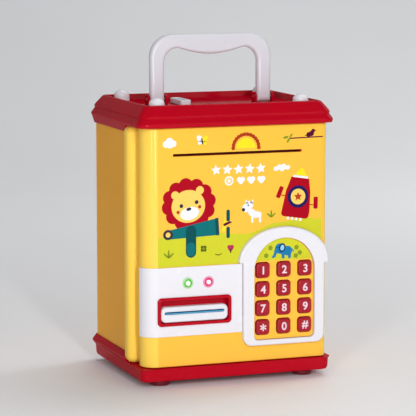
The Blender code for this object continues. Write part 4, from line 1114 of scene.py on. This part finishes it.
def print_ground():
    top = wave(
        [(-72.8, 131), (-56, 136.5), (-30, 134), (8, 131), (38, 139.5), (62, 142.5), (79.6, 141)], 10
    )
    keypad_arch = arc(43, 97.9, 33, 167, 13, 28)
    decal("hill", "grass", 1, [(-72.8, 105.4)] + keypad_arch + [(79.6, 105.4)] + top[::-1])
    blades = ((3.4, 3.6, 0), (3.0, 3.2, 48), (3.0, 3.2, -48))
    tufts = [
        moved(ellipse(0, middle, 0.9, half), place, turn, size)
        for place, size in (((-63, 113.5), 1.0), ((32, 144.5), 0.9))
        for middle, half, turn in blades
    ]
    decal("tufts", "leaf", 2, *tufts)
    decal(
        "clover", "dark_leaf", 2,
        blob(
            (-31, 120),
            [(-31 + 1.7 * cos(a), 120 + 1.7 * sin(a), 1.5) for a in (0.8, 2.36, 3.93, 5.5)],
        ),
    )
    decal("clover_heart", "leaf", 3, circle(-31, 120, 1.1))
    decal(
        "sprigs", "dark_leaf", 2,
        bar((-20, 114.5), (-17, 113.6), 0.8),
        bar((-17, 113.6), (-14.5, 114.8), 0.8),
    )
    decal("tulip", "pink", 2, blob((-6, 119.6), [(-7.3, 120.2, 1.8), (-4.7, 120.2, 1.8), (-6, 119, 2.4)]))
    decal("tulip_stem", "plum", 2, bar((-6, 117.4), (-6, 115.6), 1.3))


def print_sky():
    decal(
        "cloud", "white", 1,
        blob((-61.5, 212), [(-65, 212, 3), (-62, 214, 3.6), (-58.5, 212.4, 2.8), (-61.5, 211.4, 3)]),
    )
    decal(
        "far_cloud", "white", 1,
        blob(
            (42, 187.4),
            [(36, 187, 2), (39.5, 188.4, 2.4), (43.5, 188.6, 2.6), (47.5, 187.8, 2), (42, 186.8, 2.2)],
        ),
    )
    decal(
        "butterfly_left", "white", 1,
        ellipse(-34.6, 216.0, 3.1, 2.3, -50),
        ellipse(-34.2, 212.4, 2.0, 1.6, 30),
    )
    decal(
        "butterfly_right", "sun", 1,
        ellipse(-29.6, 215.4, 1.9, 3.1, -38),
        ellipse(-29.8, 212.0, 1.3, 1.8, 30),
    )
    decal("butterfly_body", "charcoal", 2, ellipse(-32.2, 213.6, 0.75, 3.0, 12))
    decal("sun", "sun", 1, arc(8.2, 206.2, 8.8, 0, 180, 40))
    rays = [
        circle(8.2 + 11.9 * cos(a), 206.4 + 11.9 * sin(a), 1.75)
        for a in [pi * i / 13 for i in range(14)]
    ]
    decal("sun_rays", "brick", 1, *rays)
    decal("branch", "plum", 1, bar((49, 213.2), (80, 213.8), 1.1))
    decal(
        "branch_leaves", "leaf", 2,
        ellipse(45.4, 214.2, 2.6, 1.1, 10),
        ellipse(47.8, 211.4, 2.4, 1.0, 60), ellipse(50.2, 215.6, 2.2, 0.9, 50),
    )
    decal(
        "bird", "plum", 2,
        blob((68.5, 216.6), [(67, 215.9, 2.2), (69.6, 216.8, 2.4), (71.2, 219.2, 1.7)]),
        [(65.8, 214.9), (66.9, 217.0), (62.6, 214.9)],
        [(72.6, 219.8), (74.6, 219.0), (72.6, 218.7)],
    )


def print_badges():
    """Two rows of plain white shapes where such a toy carries its slogan."""
    top = [star(-19.5 + 10.4 * index, 188.0, 4.8, 5, 0.48, 90 + 6 * (-1) ** index) for index in range(5)]
    low = [
        blob((u, 178), [(u - 1.6, 179, 2.2), (u + 1.6, 179, 2.2), (u, 177.2, 2.3)])
        for u in (3.5, 13, 22.5)
    ]
    decal("stars", "white", 1, *top)
    decal("hearts", "white", 1, *low)
    decal("coin", "white", 1, circle(-7.5, 178.2, 4.1))
    decal("coin_face", "cream", 2, circle(-7.5, 178.2, 2.9))
    decal("coin_star", "white", 3, star(-7.5, 178.2, 2.2))


def print_lion():
    """A plain round animal face in a scalloped mane."""
    mane = [
        (-44.5 + 18.6 * cos(a), 159.5 + 16.6 * sin(a), 6.3)
        for a in [tau * i / 12 + 0.15 for i in range(12)]
    ]
    decal("mane", "red", 1, blob((-44.5, 159.5), mane + [(-44.5, 159.5, 17)], 240))
    decal("ears", "cream", 2, circle(-57, 167.6, 3.6), circle(-34.4, 171.2, 3.6))
    decal("face", "cream", 3, ellipse(-45, 157.6, 15.4, 14.2, 12))
    decal("muzzle", "white", 4, ellipse(-43.8, 151.4, 8.6, 5.6, 12))
    decal("eyes", "charcoal", 4, circle(-51.4, 158.2, 1.7), circle(-37.4, 161.0, 1.7))
    decal("nose", "charcoal", 5, ellipse(-44.6, 155.2, 2.3, 1.4, 12))
    decal("cheeks", "brick", 4, circle(-54.4, 152.8, 1.5), circle(-34.6, 156.8, 1.5))


def print_telescope():
    decal("telescope", "teal", 5, [(-62, 129.6), (-17.2, 131.4), (-18.0, 146.2), (-63.5, 137.2)])
    decal(
        "telescope_rim", "dark_teal", 6,
        [(-19.6, 131.0), (-16.4, 131.2), (-17.4, 146.6), (-20.4, 146.0)]
    )
    decal("eyepiece", "charcoal", 6, circle(-63.6, 133.6, 4.4))
    decal("eyepiece_glass", "cream", 7, circle(-63.6, 133.6, 2.2))
    decal("stand", "dark_teal", 6, bar((-42.6, 136.2), (-42.6, 117.4), 9.4, 12))
    decal("stand_foot", "teal", 7, bar((-42.6, 122.4), (-42.6, 117.6), 7.4, 12))
    decal(
        "marker_post", "dark_teal", 2,
        bar((-8.3, 151.6), (-8.3, 144.4), 3.2),
        bar((-8.3, 136.6), (-8.3, 129.6), 3.2),
    )
    decal("marker_arrow", "plum", 3, [(-12.4, 138.6), (-4.6, 141.8), (-6.8, 143.0), (-12.8, 140.8)])
    decal("marker_flag", "sun", 2, [(-14.2, 134.2), (-10.9, 134.2), (-10.9, 148.4)])


def print_puppy():
    decal(
        "puppy", "white", 1,
        blob((9.8, 155), [(8.6, 153.8, 3.8), (11.4, 156.2, 3.6)]),
        [(7.6, 157.4), (10.2, 157.8), (8.2, 161.6)], [(12.0, 158.4), (14.8, 157.2), (15.2, 161.2)],
    )
    body = [blob((16.4, 147.8), [(13.6, 149.6, 3.2), (17.4, 147.6, 3.2), (20.2, 147.4, 2.6)])]
    legs = [bar((u, 147), (u, 141.4), 2.0) for u in (14.2, 21.4)]
    decal("puppy_body", "white", 2, *body)
    decal("puppy_legs", "white", 3, *legs)
    decal("puppy_nose", "charcoal", 4, circle(5.9, 152.3, 1.5), circle(10.4, 156.0, 0.7))


def print_rocket():
    """A plain rocket, leaning to the right."""
    centre = (56.5, 160)
    turn = -9
    body = [(-13.0, -13.5)] + arc(-10.0, -13.8, 3.2, 200, 268, 5) + arc(10.0, -13.8, 3.2, 272, 340, 5)
    body += [(13.4, -11.0), (11.6, 6.0), (8.4, 18.4), (-8.4, 18.4), (-11.6, 6.0)]
    decal("rocket", "red", 2, moved(body, centre, turn))
    decal(
        "rocket_collar", "white", 3,
        moved([(-7.4, 18.3), (7.4, 18.3), (6.8, 20.3), (-6.8, 20.3)], centre, turn),
    )
    decal(
        "rocket_nose", "sun", 3,
        moved([(-5.9, 20.2), (5.9, 20.2), (3.2, 24.6), (0.3, 27.8), (-2.6, 24.6)], centre, turn),
    )
    decal("rocket_port", "navy", 3, circle(57.2, 161.6, 9.9))
    decal("rocket_window", "cream", 4, circle(57.2, 161.6, 6.9))
    decal("rocket_star", "brick", 5, star(57.2, 161.6, 4.0))
    fins = [
        moved(rounded(-19.6, -6.0, -15.6, 4.6, 1.0, 3), centre, turn - 14),
        moved(rounded(15.6, -9.6, 19.6, 1.0, 1.0, 3), centre, turn + 8),
    ]
    decal("rocket_fins", "red", 2, *fins)
    struts = [
        moved(bar((-16, 1.2), (-11.6, 1.2), 0.8), centre, turn),
        moved(bar((12, -4), (16.4, -4), 0.8), centre, turn),
    ]
    decal("rocket_struts", "red", 1, *struts)
    jets = [moved(rounded(u - 1.1, -19.4, u + 1.1, -16.9, 0.5, 2), centre, turn) for u in (-6, -2, 2, 6)]
    decal("rocket_jets", "white", 3, *jets)


def print_keypad_picture():
    low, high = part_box("keypad_plate")
    middle = (low.x + high.x) / 2 * 1000
    spring = (high.z * 1000) - (high.x - low.x) * 500
    radius = (high.x - low.x) * 500 - 0.5
    start = degrees(asin((106.6 - spring) / radius))
    on_plate = {"face": PLATE_FACE, "slot": NODE_SLOT["keypad_plate"]}
    decal("arch", "grass", 1, arc(middle, spring, radius, start, 180 - start, 48), **on_plate)
    torso = blob((44, 114.4), [(46.8, 114.4, 4.3), (43.2, 114.8, 4.2), (39.4, 116.6, 4.6)])
    limbs = [bar((u, 112.4), (u, 108.8), 2.7) for u in (42.6, 48.6)]
    trunk = blob(
        (35.2, 112.4), [(36.0, 114.4, 1.9), (35.0, 112.2, 1.5), (34.3, 110.4, 1.3), (33.2, 109.5, 1.1)]
    )
    decal("elephant", "blue", 2, torso, **on_plate)
    decal("elephant_limbs", "blue", 3, *limbs, trunk, bar((51.0, 115.6), (52.8, 113.6), 0.9), **on_plate)
    decal("elephant_ear", "navy", 4, ellipse(41.6, 117.4, 3.0, 3.9, -12), **on_plate)
    decal("elephant_ear_inside", "sky", 5, ellipse(41.7, 117.3, 1.8, 2.6, -12), **on_plate)
    decal("elephant_eye", "charcoal", 4, circle(37.2, 117.6, 0.7), **on_plate)
    blossoms = []
    for u, v in ((58.4, 112.2), (26.6, 111.0), (54.6, 109.6), (55.2, 117.0), (30.6, 117.6)):
        petals = [
            (u + 1.3 * cos(a), v + 1.3 * sin(a), 0.95)
            for a in [tau * i / 5 for i in range(5)]
        ]
        blossoms.append(blob((u, v), petals))
    decal("blossoms", "leaf", 2, *blossoms, **on_plate)


# --- stage ---
CAMERA_PLACE = Vector((-0.668, -1.816, 0.409))
CAMERA_TARGET = Vector((-0.002, 0.0, 0.1455))
CAMERA_LENS = 188.0
FLOOR_HALF_WIDTH, FLOOR_NEAR_Y, WALL_TOP_Z = 6.0, -6.0, 5.0
SWEEP_START_Y, SWEEP_RADIUS = 1.4, 1.6
BANK_MIDDLE = (0, 0, 0.14)


def aim(thing, target):
    thing.rotation_euler = (Vector(target) - thing.location).to_track_quat("-Z", "Y").to_euler()


def add_softbox(name, place, size, power, target=BANK_MIDDLE):
    data = bpy.data.lights.new(name, "AREA")
    data.shape = "RECTANGLE"
    data.size, data.size_y = size
    data.energy = power
    light = add_object(name, data)
    light.location = place
    aim(light, target)


def make_stage():
    """A pale sweep that runs flat under the bank and curves up far behind it."""
    sweep = arc(SWEEP_START_Y, SWEEP_RADIUS, SWEEP_RADIUS, -90, 0, 24)
    profile = [(FLOOR_NEAR_Y, 0.0)] + sweep + [(SWEEP_START_Y + SWEEP_RADIUS, WALL_TOP_Z)]
    left, right = -FLOOR_HALF_WIDTH, FLOOR_HALF_WIDTH
    floor = bmesh.new()
    for (y0, z0), (y1, z1) in zip(profile, profile[1:]):
        corners = ((left, y0, z0), (right, y0, z0), (right, y1, z1), (left, y1, z1))
        floor.faces.new([floor.verts.new(corner) for corner in corners])
    bmesh.ops.remove_doubles(floor, verts=floor.verts, dist=1e-5)
    ground = add_mesh("floor", floor)
    ground.data.shade_smooth()
    made, tree, shader = new_material("pale_floor")
    shade = blend_colours(tree, noise(tree, 3, 2.0), (0.87, 0.87, 0.88), (0.90, 0.90, 0.91))
    feed(shader, "Base Color", shade)
    put(shader, "Roughness", 0.6)
    ground.data.materials.append(made)

    bpy.context.scene.view_settings.view_transform = "Standard"
    world = bpy.data.worlds.new("studio")
    bpy.context.scene.world = world
    world.use_nodes = True
    background = world.node_tree.nodes["Background"]
    put(background, "Color", (0.90, 0.92, 0.95, 1))
    put(background, "Strength", 0.24)
    add_softbox("key_box", (0.80, -1.8, 1.2), (0.9, 0.9), 2.6)
    add_softbox("front_strip", (-0.17, -1.20, 0.42), (0.10, 0.8), 7.0)
    add_softbox("left_strip", (-0.92, -1.35, 0.50), (0.20, 1.0), 8.5)
    add_softbox("top_box", (0.7, 0.6, 2.0), (1.6, 1.2), 14)
    add_softbox("backdrop_box", (1.7, 0.6, 1.3), (1.0, 1.0), 15, (0.8, 2.3, 0.3))


def make_camera():
    data = bpy.data.cameras.new("view")
    data.lens = CAMERA_LENS
    data.clip_end = 50
    camera = add_object("view", data)
    camera.location = CAMERA_PLACE
    aim(camera, CAMERA_TARGET)
    bpy.context.scene.camera = camera


BUILD = (
    make_base, make_case, make_lid, make_lid_fittings, make_handle, make_door_shell, make_card_panel,
    make_keypad, make_reader, make_lamps, make_card, make_inside, print_ground, print_sky,
    print_badges, print_lion, print_telescope, print_puppy, print_rocket, print_keypad_picture,
    make_stage, make_camera,
)
for build in BUILD:
    build()
